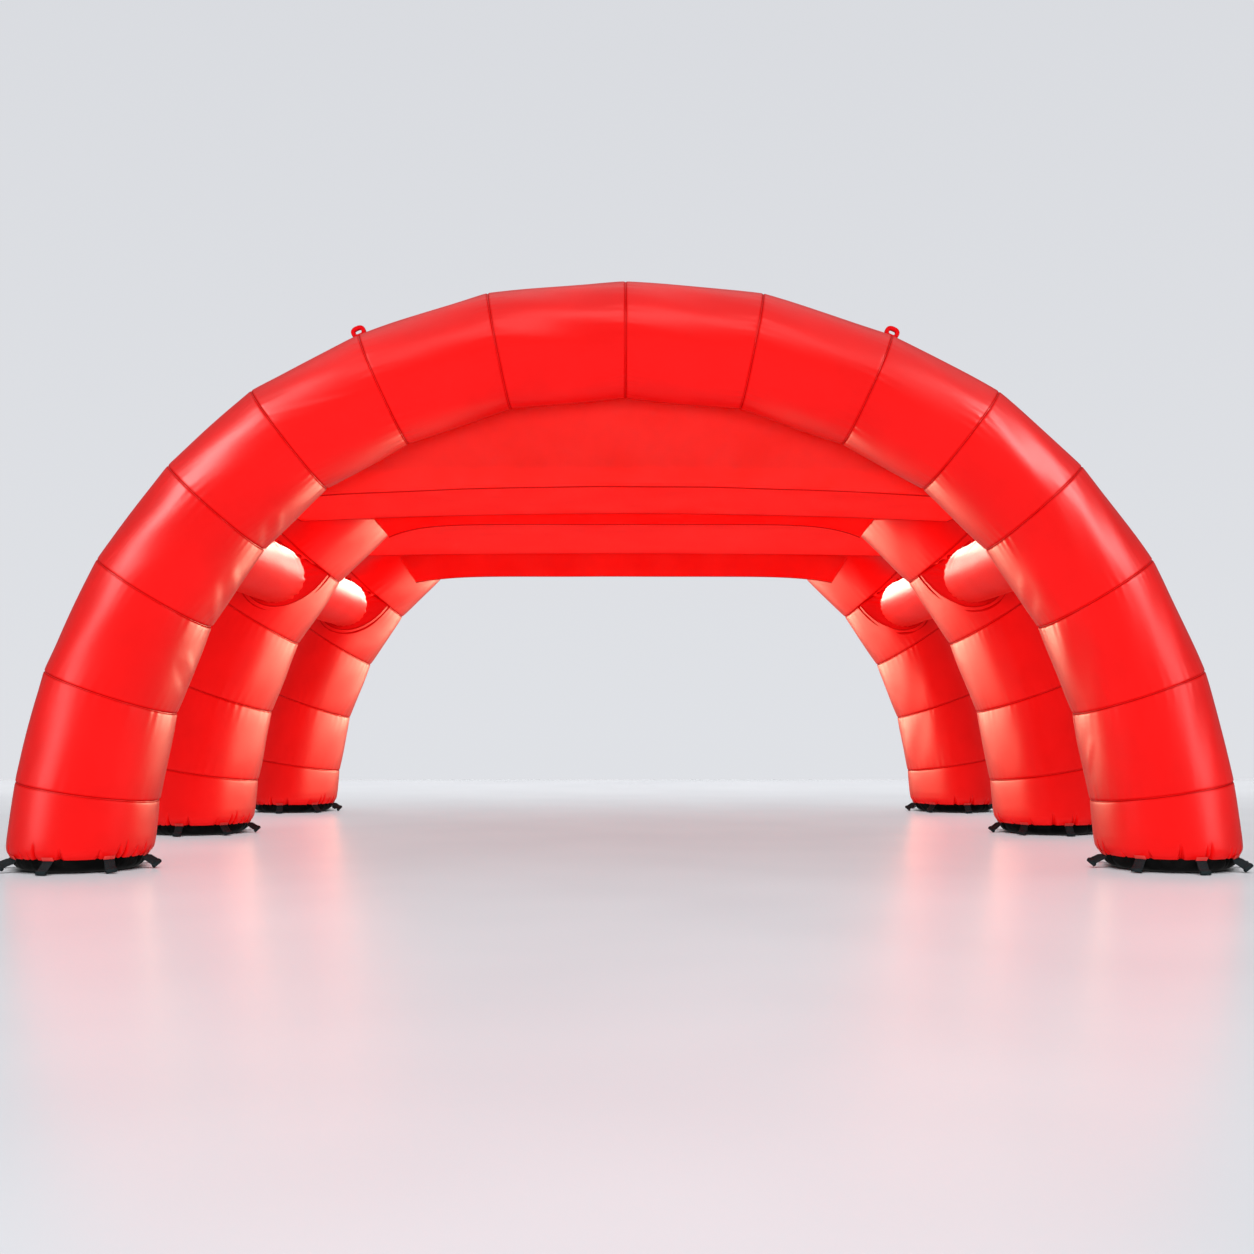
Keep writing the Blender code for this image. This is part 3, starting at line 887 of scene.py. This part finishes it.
def skin_depth(x, height, scale):
    """How far the skin of an arch reaches from its middle plane at (x, height) of the right half."""
    best = 0
    for index in range(SPACER_SEAM - 1, SPACER_SEAM + 2):
        start, along, length = gore_line(index, scale)
        from_start = np.stack([x - start[0], height - start[1]], axis=-1)
        share = from_start @ along
        across = from_start @ np.array((-along[1], along[0]))
        radius = tube_radius(start[1] + along[1] * share, scale) + SHOULDER
        reach = np.sqrt(np.maximum(radius**2 - across**2, 0))
        inside = (share > -GORE_MARGIN) & (share < length + GORE_MARGIN)
        best = np.maximum(best, np.where(inside, reach, 0))
    return best


def build_spacer(first, second, side_name, side, material):
    """A blown-up tube from arch to arch, gathered a little where its ends are sewn on."""
    name = f"spacer_{first[0]}_{side_name}"
    angles = full_turn(SPACER_SIDES)
    seed = first[3] + (5 if side > 0 else 0)
    gathers = Waves(seed, (14, 34), (0.2, 0.5), 12)
    slow = Waves(seed + 1, (1, 4), (0.5, 1.5))
    builder = TubeBuilder()
    ends = []
    for arch, face in ((first, 1), (second, -1)):
        x = SPACER_X + SPACER_RADIUS * np.cos(angles)
        height = SPACER_HEIGHT + SPACER_RADIUS * np.sin(angles)
        ends.append(arch[1] + face * (skin_depth(x, height, arch[2]) - SPACER_SUNK))
    length = ends[1] - ends[0]
    rows = [np.full_like(length, near) for near in SPACER_NEAR_END]
    middle = length - 2 * SPACER_NEAR_END[-1]
    rows += [SPACER_NEAR_END[-1] + middle * step / SPACER_STEPS for step in range(1, SPACER_STEPS)]
    rows += [length - near for near in reversed(SPACER_NEAR_END)]
    for past in rows:
        left = length - past
        end = np.minimum(past, left)
        share = past / length
        radius = SPACER_RADIUS + SPACER_BULGE * np.sin(math.pi * share)
        radius = radius + SPACER_LIP * np.exp(-end / SPACER_LIP_REACH)
        radius = radius + SPACER_GATHERS * gathers.at(angles, past) * np.exp(-end / SPACER_GATHERS_REACH)
        radius = radius + SPACER_WOBBLE * slow.at(angles, past)
        for centre, at, deep in SPACER_CREASES:
            away = within_half_turn(angles - centre)
            across = (share - at) * SPACER_LENGTH / SPACER_CREASE_WIDTH
            radius = radius - deep * np.exp(-(across**2) - (away / SPACER_CREASE_REACH) ** 2)
        x = side * (SPACER_X + radius * np.cos(angles))
        points = placed(x, ends[0] + past, SPACER_HEIGHT + radius * np.sin(angles))
        points = points[::-1] if side > 0 else points
        builder.add(points, angles * SPACER_RADIUS, past, end + 0.1, end + 0.2)
    spacer = builder.build(f"{name}_skin", material)
    finish_piece(spacer, "red_cloth", name)
    return spacer


def gusset_reach(turn):
    """How far the gusset's sewn edge lies from the spacer's centre, by direction: 0 is down the gore."""
    down, aside = np.cos(turn), np.sin(turn)
    a = (down / GUSSET_LENGTH) ** 2 + (aside / GUSSET_WIDTH) ** 2
    b = 2 * down * JOINT_BELOW_SEAM / GUSSET_LENGTH**2
    c = (JOINT_BELOW_SEAM / GUSSET_LENGTH) ** 2 - 1
    reach = (-b + np.sqrt(b * b - 4 * a * c)) / (2 * a)
    top = (GUSSET_TOP - JOINT_BELOW_SEAM) / np.where(down < -1e-6, down, -1e-6)
    return np.minimum(reach, top), top < reach


def build_gussets(arch, face, material):
    """D-shaped cloths sewn to one face of an arch, round the two joints with the spacers."""
    name, along_y, scale, seed = arch
    start, along, _ = gore_line(SPACER_SEAM, scale)
    out = np.array((-along[1], along[0]))
    joint = np.array((SPACER_X, SPACER_HEIGHT)) - start
    joint_down, joint_out = joint @ along, joint @ out
    joint_angle = math.asin(joint_out / tube_radius(SPACER_HEIGHT, scale))
    turns = full_turn(GUSSET_RAYS)
    sewn, at_top = gusset_reach(turns)
    beyond = np.where(at_top, GUSSET_PAST_TOP, GUSSET_PAST_LINE)
    upward = np.clip(-np.cos(turns), 0, 1)
    inner_share = (np.linspace(0, 1, GUSSET_STEPS) ** 0.8)[:-4]  # finer rows take the last four's place
    inner = [GUSSET_HIDDEN + (sewn - GUSSET_HIDDEN) * share for share in inner_share]
    rows = inner + [np.maximum(sewn - gap, inner[-1]) for gap in GUSSET_BEFORE_LINE]
    rows += [sewn + beyond * share for share in GUSSET_BEYOND_LINE]
    folds = Waves(seed + face, (17, 37), (0.5, 1.0), 10)
    gussets = []
    for side_name, side in SIDES:
        builder = TubeBuilder()
        for reach in rows:
            down = joint_down + reach * np.cos(turns)
            height = start[1] + along[1] * down
            radius = tube_radius(height, scale) + SHOULDER
            angle = joint_angle + reach * np.sin(turns) / radius
            from_line = reach - sewn
            stitched = GUSSET_STITCH_DEPTH * np.exp(-((from_line / GUSSET_STITCH_WIDTH) ** 2))
            lift = GUSSET_LIFT * (1 - np.exp(-np.abs(from_line) / GUSSET_LIFT_REACH)) - stitched
            fade = np.clip(1 - from_line / np.maximum(beyond, GUSSET_FADE_LEAST), 0, 1)
            tucked = GUSSET_TUCK * np.where(from_line > 0, 1 - fade, 0) ** 2
            lift = lift * np.where(from_line > 0, fade, 1.0) + GUSSET_THICK - tucked
            between = np.clip((reach - SPACER_RADIUS) / GUSSET_FOLD_RISE, 0, 1)
            between = between * np.clip(-from_line / GUSSET_FOLD_FALL, 0, 1)
            lift = lift + GUSSET_FOLD * upward**2 * folds.at(turns, reach) * between
            line = start + np.outer(down, along)
            flat_out = radius + lift
            x = side * (line[:, 0] + flat_out * np.sin(angle) * out[0])
            z = line[:, 1] + flat_out * np.sin(angle) * out[1]
            points = placed(x, along_y + face * flat_out * np.cos(angle), z)
            if side * face > 0:
                points = points[::-1]
            away = np.abs(from_line)
            builder.add(points, turns * GUSSET_MAP_RADIUS, reach, GUSSET_SEAM_MAP * away, away + 1)
        gusset = builder.build(f"gusset_{name}_{'front' if face < 0 else 'back'}_{side_name}", material)
        gussets.append(finish_piece(gusset, "red_cloth"))
    return gussets


# ---------------------------------------------------------------- the cloths


CLOTH_GAP = 0.0004  # between a ceiling's edge and a header
HEM_STEP = 0.003  # how soon a folded hem reaches its full thickness
HEADER_SEWN = 0.0015  # how far off the tube's ruled surface it is sewn
HEADER_HEM = 0.026
HEADER_HEM_LIFT = 0.0013
HEADER_COLUMNS = 181
HEADER_SWAY = 0.0045
SWAY_CLEAR = 0.03  # no sway this near the ceiling's height
SWAY_RISE = 0.10  # and all of it so much further off
SWAY_END = 0.3  # less of it this near the header's ends
CEILING_HEM = 0.024
CEILING_HEM_LIFT = 0.001
CEILING_COLUMNS = 161
CEILING_SAG = 0.016
CEILING_WAVE = 0.004
CEILING_HELD = 0.3  # over this much from its ends a ceiling comes loose
HAUNCH_GAP = 0.020  # between the rear ceiling and the middle arch
WIDE_PAST = 0.010  # past the arch's thickest, where the ceiling takes its full width


def cloth_object(name, grid, material, hem_distance):
    """A sheet through a grid of points, CLOTH thick, with each point's distance from a stitched line."""
    rows, columns = grid.shape[:2]
    faces, cloth, seam = [], [], []
    steps = np.linalg.norm(np.diff(grid, axis=1), axis=2).mean(axis=0)
    across = np.concatenate([[0], np.cumsum(steps)])
    down = np.concatenate([[0], np.cumsum(np.linalg.norm(np.diff(grid, axis=0), axis=2).mean(axis=1))])
    for corners in quads(rows - 1, columns - 1):
        faces.append([r * columns + c for r, c in corners])
        cloth.extend((across[c], down[r]) for r, c in corners)
        seam.extend((across[c], hem_distance[r, c]) for r, c in corners)
    obj = mesh_object(name, grid.reshape(-1, 3), faces, [material], {"cloth": cloth, "seam": seam})
    solidify = obj.modifiers.new("thickness", "SOLIDIFY")
    solidify.thickness = CLOTH
    solidify.offset = 0
    return obj


def header_top(scale, past_seam):
    """x, height and radius of the tube along its header, from the crown to the header's right end."""
    seams = half_seams(scale)
    points = [(x, height, tube_radius(height, scale)) for x, height, _, _ in seams[: HEADER_SEAM + 1]]
    if past_seam:
        x, height, _, _ = seams[HEADER_SEAM]
        next_x, next_height, _, _ = seams[HEADER_SEAM + 1]
        share = past_seam / (GORES[HEADER_SEAM][0] * scale)
        x, height = x + (next_x - x) * share, height + (next_height - height) * share
        points.append((x, height, tube_radius(height, scale)))
    return np.array(points)


def build_header(row, arch, material):
    """A half-moon of cloth that hangs from the line where an upright plane touches its arch."""
    name, face, past_seam, middle, corner, corner_x, power = row
    _, along_y, scale, seed = arch
    top = header_top(scale, past_seam)
    end_x = top[-1, 0]
    x = np.linspace(-end_x, end_x, HEADER_COLUMNS)
    height = np.interp(np.abs(x), top[:, 0], top[:, 1])
    radius = np.interp(np.abs(x), top[:, 0], top[:, 2])
    low_x = x / end_x * corner_x
    low = middle - (middle - corner) * np.abs(x / end_x) ** power
    waves = Waves(seed + 7, (0, 0), (0.7, 2.2), 8)
    ripple = waves.at(0, x)
    shares = np.concatenate([np.linspace(0, 0.9, 30), np.linspace(0.91, 1.0, 13)])
    sewn = radius + HEADER_SEWN
    grid, hem = [], []
    for share in shares:
        knee = np.clip(share / HEADER_FLAT_FROM, 0, 1)
        out = sewn + (TANGENT_PLANE - sewn) * (1 - (1 - knee) ** 2)
        from_hem = (height - low) * (1 - share)
        folded = np.clip((HEADER_HEM - from_hem) / HEM_STEP, 0, 1) * HEADER_HEM_LIFT
        now = height + (low - height) * share
        clear = np.clip((np.abs(now - CEILING_HEIGHTS[name][0]) - SWAY_CLEAR) / SWAY_RISE, 0, 1)
        sway = HEADER_SWAY * ripple * share**1.5 * clear * np.clip((end_x - np.abs(x)) / SWAY_END, 0, 1)
        grid.append(placed(x + (low_x - x) * share, along_y + face * (out + folded) + sway, now))
        hem.append(from_hem)
    header = cloth_object(f"{name}_header", np.array(grid), material, np.array(hem))
    finish_piece(header, "red_cloth", f"header_{name}")
    return header


def ceiling_height(bay, share, x):
    (start, start_fall), (end, end_fall) = (CEILING_HEIGHTS[arch] for arch in bay)
    fall = start_fall + (end_fall - start_fall) * share
    return start + (end - start) * share - fall * x * x


def throat_half_width(along_y, level, clear, scale):
    """Half the width left at a level between the middle arch's haunches."""
    widths = []
    for index in (HEADER_SEAM - 1, HEADER_SEAM):
        start, along, _ = gore_line(index, scale)
        centre_x = start[0] + along[0] * (level - start[1]) / along[1]
        widths.append(centre_x - math.sqrt(max(0.0, clear**2 - along_y**2)) / -along[1])
    return min(widths)


def build_ceiling(name, bay, along_ys, half_widths, seed, material):
    waves = Waves(seed, (0, 3), (0.8, 2.4), 10)
    grid, hem = [], []
    start, end = along_ys[0], along_ys[-1]
    for along_y, half_width in zip(along_ys, half_widths):
        share = (along_y - start) / (end - start)
        x = np.linspace(-half_width, half_width, CEILING_COLUMNS)
        edge = np.minimum(along_y - start, end - along_y)
        from_edge = np.minimum(edge, half_width - np.abs(x))
        sag = -CEILING_SAG * math.sin(math.pi * share)
        loose = np.clip(edge / CEILING_HELD, 0, 1)
        height = ceiling_height(bay, share, x) + sag * loose + CEILING_WAVE * waves.at(along_y, x) * loose
        folded = np.clip((CEILING_HEM - from_edge) / HEM_STEP, 0, 1) * CEILING_HEM_LIFT
        grid.append(placed(x, along_y, height - folded))
        hem.append(from_edge)
    ceiling = cloth_object(f"ceiling_cloth_{name}", np.array(grid), material, np.array(hem))
    finish_piece(ceiling, "red_cloth", f"ceiling_{name}")
    return ceiling


def build_ceilings(material):
    edge = TANGENT_PLANE + CLOTH / 2 + CLOTH_GAP
    front_ys = np.linspace(-BAY + edge, -edge, 61)
    front = build_ceiling("front", ("front", "middle"), front_ys, [CEILING_HALF_WIDTH] * 61, 51, material)
    scale = ARCHES[1][2]
    level = CEILING_HEIGHTS["middle"][0]
    clear = tube_radius(level, scale) + HAUNCH_GAP
    beside = tube_radius(0, 1) + WIDE_PAST
    under = np.linspace(-edge, clear, 33)
    turning = np.linspace(clear, beside, 9)[1:]
    behind = np.linspace(beside, BAY - edge, 49)[1:]
    last = throat_half_width(clear, level, clear, scale)
    widths = [throat_half_width(y, level, clear, scale) for y in under]
    widths += [last + (CEILING_HALF_WIDTH - last) * (y - clear) / (beside - clear) for y in turning]
    widths += [CEILING_HALF_WIDTH] * len(behind)
    ys = np.concatenate([under, turning, behind])
    return [front, build_ceiling("rear", ("middle", "rear"), ys, widths, 67, material)]


# ---------------------------------------------------------------- feet, straps and loops


BASE_ABOVE_HEM = 0.0060  # how far it reaches up inside the tube
BASE_INSET = 0.002
BASE_CREASES = 0.0035
BASE_PUCKERS = 0.6  # of the tube's own


def build_base(arch, side_name, side, material):
    """The black bag under a foot: gathered at the hem and curving in to the flat that stands on the floor."""
    name, along_y, scale, seed = arch
    angles = full_turn(TUBE_SIDES)
    azimuth = foot_azimuth(angles)
    creases = Waves(seed + 3 + side, (9, 31), (0.2, 0.6), 12)
    puckers = foot_pucker_depth(azimuth, HEM_HEIGHT, HEM_RADIUS, side)
    builder = TubeBuilder()
    top = HEM_HEIGHT + BASE_ABOVE_HEM
    for share in np.concatenate([[0.0, 0.01], np.linspace(0.04, 1, 18)]):
        height = top * (1 - share)
        round_share = math.sqrt(max(0.0, 1 - share**2))
        radius = GROUND_RADIUS + (HEM_RADIUS - BASE_INSET - GROUND_RADIUS) * round_share
        radius = radius + BASE_CREASES * math.sin(math.pi * share) * creases.at(angles, height)
        radius = radius - BASE_PUCKERS * puckers * (1 - share) ** 2
        x = side * (foot_x(scale) + radius * np.cos(angles))
        points = placed(x, along_y + radius * np.sin(angles), height)
        points = points if side > 0 else points[::-1]
        flat = np.full(TUBE_SIDES, height)
        builder.add(points, angles * HEM_RADIUS, flat, flat + 1, flat + 2)
    base = builder.build(f"foot_bag_{name}_{side_name}", material)
    finish_piece(base, "black_cloth", f"base_{name}_{side_name}")
    return base


STRAP_HALF_WIDTH = 0.0325
STRAP_PATH = (
    # distance from the foot's axis, height, half thickness: down from the hem, then rolled into the end's eye
    (0.4130, 0.0830, 0.0018),
    (0.4230, 0.0740, 0.0018),
    (0.4430, 0.0580, 0.0018),
    (0.4640, 0.0410, 0.0018),
    (0.4800, 0.0300, 0.0022),
    (0.4870, 0.0262, 0.0036),
    (0.4940, 0.0262, 0.0045),
    (0.5010, 0.0245, 0.0045),
    (0.5052, 0.0200, 0.0045),
    (0.5060, 0.0145, 0.0045),
    (0.5040, 0.0095, 0.0045),
    (0.4995, 0.0068, 0.0045),
    (0.4940, 0.0068, 0.0045),
    (0.4895, 0.0100, 0.0045),
    (0.4880, 0.0150, 0.0040),
    (0.4895, 0.0195, 0.0030),
)
STRAP_ROLL = 0.487  # distance at which the roll starts
STRAP_END_HEIGHT = 0.028
TAB_WIDER = 0.003
STRAP_SECTION = ((-1, -0.5), (-0.97, -1), (0.97, -1), (1, -0.5), (1, 0.5), (0.97, 1), (-0.97, 1), (-1, 0.5))
TAB_PATH = (
    (0.4335, 0.1020, 0.0014),
    (0.4300, 0.0950, 0.0014),
    (0.4250, 0.0870, 0.0014),
    (0.4175, 0.0790, 0.0014),
)
STRAPS = (
    # degrees from -Y towards the outside, number of its solid, how far its end bends round, twist towards -Y
    (5, 1, -1, 0),
    (46, 2, 1, 40),
    (90, 3, -3, 25),
    (135, None, 4, 8),
    (180, 4, -3, 0),
    (-135, None, 2, 12),
    (-88, 5, 0, 34),
    (-44, 6, 1, 6),
)


def smooth_path(points, steps):
    """A rounded route through a few points, as a Catmull-Rom curve."""
    points = np.array(points, float)
    padded = np.vstack([2 * points[0] - points[1], points, 2 * points[-1] - points[-2]])
    shares = np.linspace(0, 1, steps, endpoint=False)[:, None]
    route = []
    for p0, p1, p2, p3 in zip(padded, padded[1:], padded[2:], padded[3:]):
        curve = 2 * p1 + (p2 - p0) * shares + (2 * p0 - 5 * p1 + 4 * p2 - p3) * shares**2
        route.append(0.5 * (curve + (3 * p1 - p0 - 3 * p2 + p3) * shares**3))
    return np.vstack(route + [points[-1:]])


def ribbon(route, sideways, half_width, half_thicks):
    """Points, faces and map of a band along a route, its width along sideways at each point."""
    steps = np.gradient(route, axis=0)
    steps /= np.linalg.norm(steps, axis=1)[:, None]
    upward = np.cross(sideways, steps)
    length = np.concatenate([[0], np.cumsum(np.linalg.norm(np.diff(route, axis=0), axis=1))])
    count = len(STRAP_SECTION)
    points, faces, cloth = [], [], []
    for place, aside, up, half_thick in zip(route, sideways, upward, half_thicks):
        for across, thick in STRAP_SECTION:
            points.append(place + aside * across * half_width + up * thick * half_thick)
    for corners in quads(len(route) - 1, count):
        faces.append([r * count + c % count for r, c in corners])
        cloth.extend((STRAP_SECTION[c % count][0] * half_width, length[r]) for r, c in corners)
    for row, order in ((0, range(count - 1, -1, -1)), (len(route) - 1, range(count))):
        faces.append([row * count + c for c in order])
        cloth.extend((STRAP_SECTION[c][0] * half_width, length[row]) for c in order)
    return points, faces, cloth


def add_up(parts):
    """Joins (points, faces, map) pieces into one."""
    points, faces, cloth = [], [], []
    for some_points, some_faces, some_cloth in parts:
        start = len(points)
        points.extend(list(p) for p in some_points)
        faces.extend([start + i for i in face] for face in some_faces)
        cloth.extend(some_cloth)
    return points, faces, cloth


def turned(vectors, axis, angles):
    """Vectors turned about an axis, each by its own angle."""
    cosine, sine = np.cos(angles)[:, None], np.sin(angles)[:, None]
    return vectors * cosine + np.cross(axis, vectors) * sine + np.outer(vectors @ axis, axis) * (1 - cosine)


def lay_strap(path, centre, side, azimuth, bend, twist, half_width):
    """A band from a path seen from the side, laid out from a foot and turned on its way to its end."""
    share = np.clip((path[:, 0] - path[0, 0]) / (STRAP_ROLL - path[0, 0]), 0, 1)
    ease = share * share * (3 - 2 * share)
    turn = math.radians(azimuth) + math.radians(bend) * ease
    away = np.stack([side * np.sin(turn), -np.cos(turn), 0 * turn], axis=1)
    sideways = np.stack([-away[:, 1], away[:, 0], 0 * turn], axis=1)
    twist = math.radians(twist)
    height = path[:, 1] + 0.8 * half_width * abs(math.sin(twist)) * ease
    route = away * path[:, :1] + np.outer(height, (0, 0, 1))
    axis = away[0] * (STRAP_ROLL - path[0, 0]) + np.array((0, 0, STRAP_END_HEIGHT - path[0, 1]))
    axis /= np.linalg.norm(axis)
    angles = twist * np.clip(3 * share, 0, 1) * np.sign(sideways[0, 1])
    route = turned(route - route[0], axis, angles) + route[0] + centre
    return ribbon(route, turned(sideways, axis, angles), half_width, path[:, 2])


def build_straps(arch, side_name, side, webbing, tab_webbing_painted_highlight):
    """Eight tie-downs round a foot, each with a red tab over its root, on the hem; the tabs' pink tone is a
    painted highlight.
    """
    name, along_y, scale, seed = arch
    random = np.random.default_rng(seed + side)
    centre = np.array((side * foot_x(scale), along_y, 0))
    strap_path, tab_path = smooth_path(STRAP_PATH, 4), smooth_path(TAB_PATH, 3)
    straps, tabs, nodes = [], [], []
    for azimuth, solid, bend, twist in STRAPS:
        if solid:
            nodes.append(f"strap_{name}_{side_name}_{solid}")
        bend += random.uniform(-1.5, 1.5)
        twist += random.uniform(-5, 5) * (twist > 0)
        straps.append(lay_strap(strap_path, centre, side, azimuth, bend, twist, STRAP_HALF_WIDTH))
        tabs.append(lay_strap(tab_path, centre, side, azimuth, 0, 0, STRAP_HALF_WIDTH + TAB_WIDER))
    points, faces, cloth = add_up(straps)
    piece = mesh_object(f"tie_downs_{name}_{side_name}", points, faces, [webbing], {"cloth": cloth})
    straps = finish_piece(piece, "black_webbing", *nodes)
    points, faces, cloth = add_up(tabs)
    tabs = mesh_object(f"tie_down_tabs_{name}_{side_name}", points, faces, [tab_webbing_painted_highlight], {"cloth": cloth})
    return [straps, finish_piece(tabs, "red_cloth")]


LOOP_SEAM = 2
LOOP_CENTRE = 0.0365  # out from the skin
LOOP_HALF_LENGTH = 0.0345  # of the line through the middle of its rim
LOOP_HALF_HEIGHT = 0.0265
LOOP_RIM = 0.0145  # half the rim's thickness
LOOP_HALF_WIDTH = 0.019
LOOP_STEPS = 64
LOOP_SIDES = 20
LOOP_MAP = (0.10, 0.20)  # metres round the rim's section and along the rim


def squared(angle, power):
    """A point on a rounded square of half side 1."""
    c, s = np.cos(angle), np.sin(angle)
    return np.sign(c) * np.abs(c) ** power, np.sign(s) * np.abs(s) ** power


def build_loop(arch, side_name, side, webbing):
    """A stiff handle of rolled webbing on the outside of the bend."""
    name, along_y, scale, _ = arch
    x, height, slope, stretch = half_seams(scale)[LOOP_SEAM]
    slope = math.radians(slope)
    out = outward(slope, side)
    along = np.array((math.cos(slope), 0, -side * math.sin(slope)))
    root = np.array((side * x, along_y, height)) + out * tube_radius(height, scale) * stretch
    turns = full_turn(LOOP_STEPS)
    section = full_turn(LOOP_SIDES)
    thick, wide = squared(section, 0.6)
    across, up = squared(turns, 0.75)
    points, faces, cloth = [], [], []
    for a, u, turn in zip(across, up, turns):
        place = root + along * a * LOOP_HALF_LENGTH + out * (LOOP_CENTRE + u * LOOP_HALF_HEIGHT)
        radial = along * math.cos(turn) + out * math.sin(turn)
        for t, w in zip(thick, wide):
            points.append(place + radial * t * LOOP_RIM + np.array((0, w * LOOP_HALF_WIDTH, 0)))
    for one, two, three, four in quads(LOOP_STEPS, LOOP_SIDES):
        corners = (one, four, three, two) if side > 0 else (two, three, four, one)
        faces.append([(r % LOOP_STEPS) * LOOP_SIDES + c % LOOP_SIDES for r, c in corners])
        cloth.extend((c / LOOP_SIDES * LOOP_MAP[0], r / LOOP_STEPS * LOOP_MAP[1]) for r, c in corners)
    loop = mesh_object(f"top_loop_{name}_{side_name}", points, faces, [webbing], {"cloth": cloth})
    return finish_piece(loop, "red_webbing", f"loop_{name}_{side_name}")


# ---------------------------------------------------------------- making it all


FLOOR_CORNERS = ((-40, -22, 0), (40, -22, 0), (40, 11, 0), (-40, 11, 0))
FLOOR_HEIGHT = -0.0005  # just under the feet


def add_floor():
    """A plain floor, which the tubes don't mirror."""
    floor = mesh_object("floor", FLOOR_CORNERS, [(0, 1, 2, 3)], [floor_material()])
    floor.location.z = FLOOR_HEIGHT
    floor.visible_glossy = False
    return floor


def main():
    add_camera()
    add_world()
    floor = add_floor()
    red, spacer_red, gusset_red_painted_shade = (coated_cloth_material(*row) for row in COATED_CLOTHS)
    ceiling_red, header_red_painted_light = (sheet_cloth_material(*row) for row in SHEET_CLOTHS)
    black = black_cloth_material()
    webbing = webbing_material("black_webbing", (0.010, 0.015, 0.017), (0.024, 0.035, 0.039))
    red_webbing = webbing_material("red_webbing", (0.42, 0.002, 0.004), (0.60, 0.003, 0.006))
    # Pink: a painted highlight on the red tabs, which lean up towards the light.
    tab_webbing_painted_highlight = webbing_material("tab_webbing_painted_highlight", (0.82, 0.050, 0.044), (0.92, 0.065, 0.058))
    arches, gussets_and_loops, spacers, sheets, blacks = [], [], [], [], []
    for arch in ARCHES:
        arches.append(build_arch(arch, red))
        for side_name, side in SIDES:
            blacks.append(build_base(arch, side_name, side, black))
            blacks += build_straps(arch, side_name, side, webbing, tab_webbing_painted_highlight)
            if arch[0] != "middle":
                gussets_and_loops.append(build_loop(arch, side_name, side, red_webbing))
    for first, second in zip(ARCHES, ARCHES[1:]):
        for side_name, side in SIDES:
            spacers.append(build_spacer(first, second, side_name, side, spacer_red))
        gussets_and_loops += build_gussets(first, 1, gusset_red_painted_shade)
        gussets_and_loops += build_gussets(second, -1, gusset_red_painted_shade)
    for row, arch in zip(HEADERS, ARCHES):
        # The front header takes the paler cloth with painted light, the other headers the ceiling cloth.
        sheets.append(build_header(row, arch, header_red_painted_light if arch[0] == "front" else ceiling_red))
    sheets += build_ceilings(ceiling_red)
    add_lights(arches, gussets_and_loops, spacers, sheets, blacks, floor)
    bpy.context.scene.view_settings.view_transform = "Standard"


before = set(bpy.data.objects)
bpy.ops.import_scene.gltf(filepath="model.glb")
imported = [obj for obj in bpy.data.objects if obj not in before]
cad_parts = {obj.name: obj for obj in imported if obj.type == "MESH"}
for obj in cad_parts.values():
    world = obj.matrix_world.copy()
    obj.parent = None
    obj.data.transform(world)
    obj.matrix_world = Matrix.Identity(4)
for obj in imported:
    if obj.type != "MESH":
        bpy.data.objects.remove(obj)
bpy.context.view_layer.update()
main()
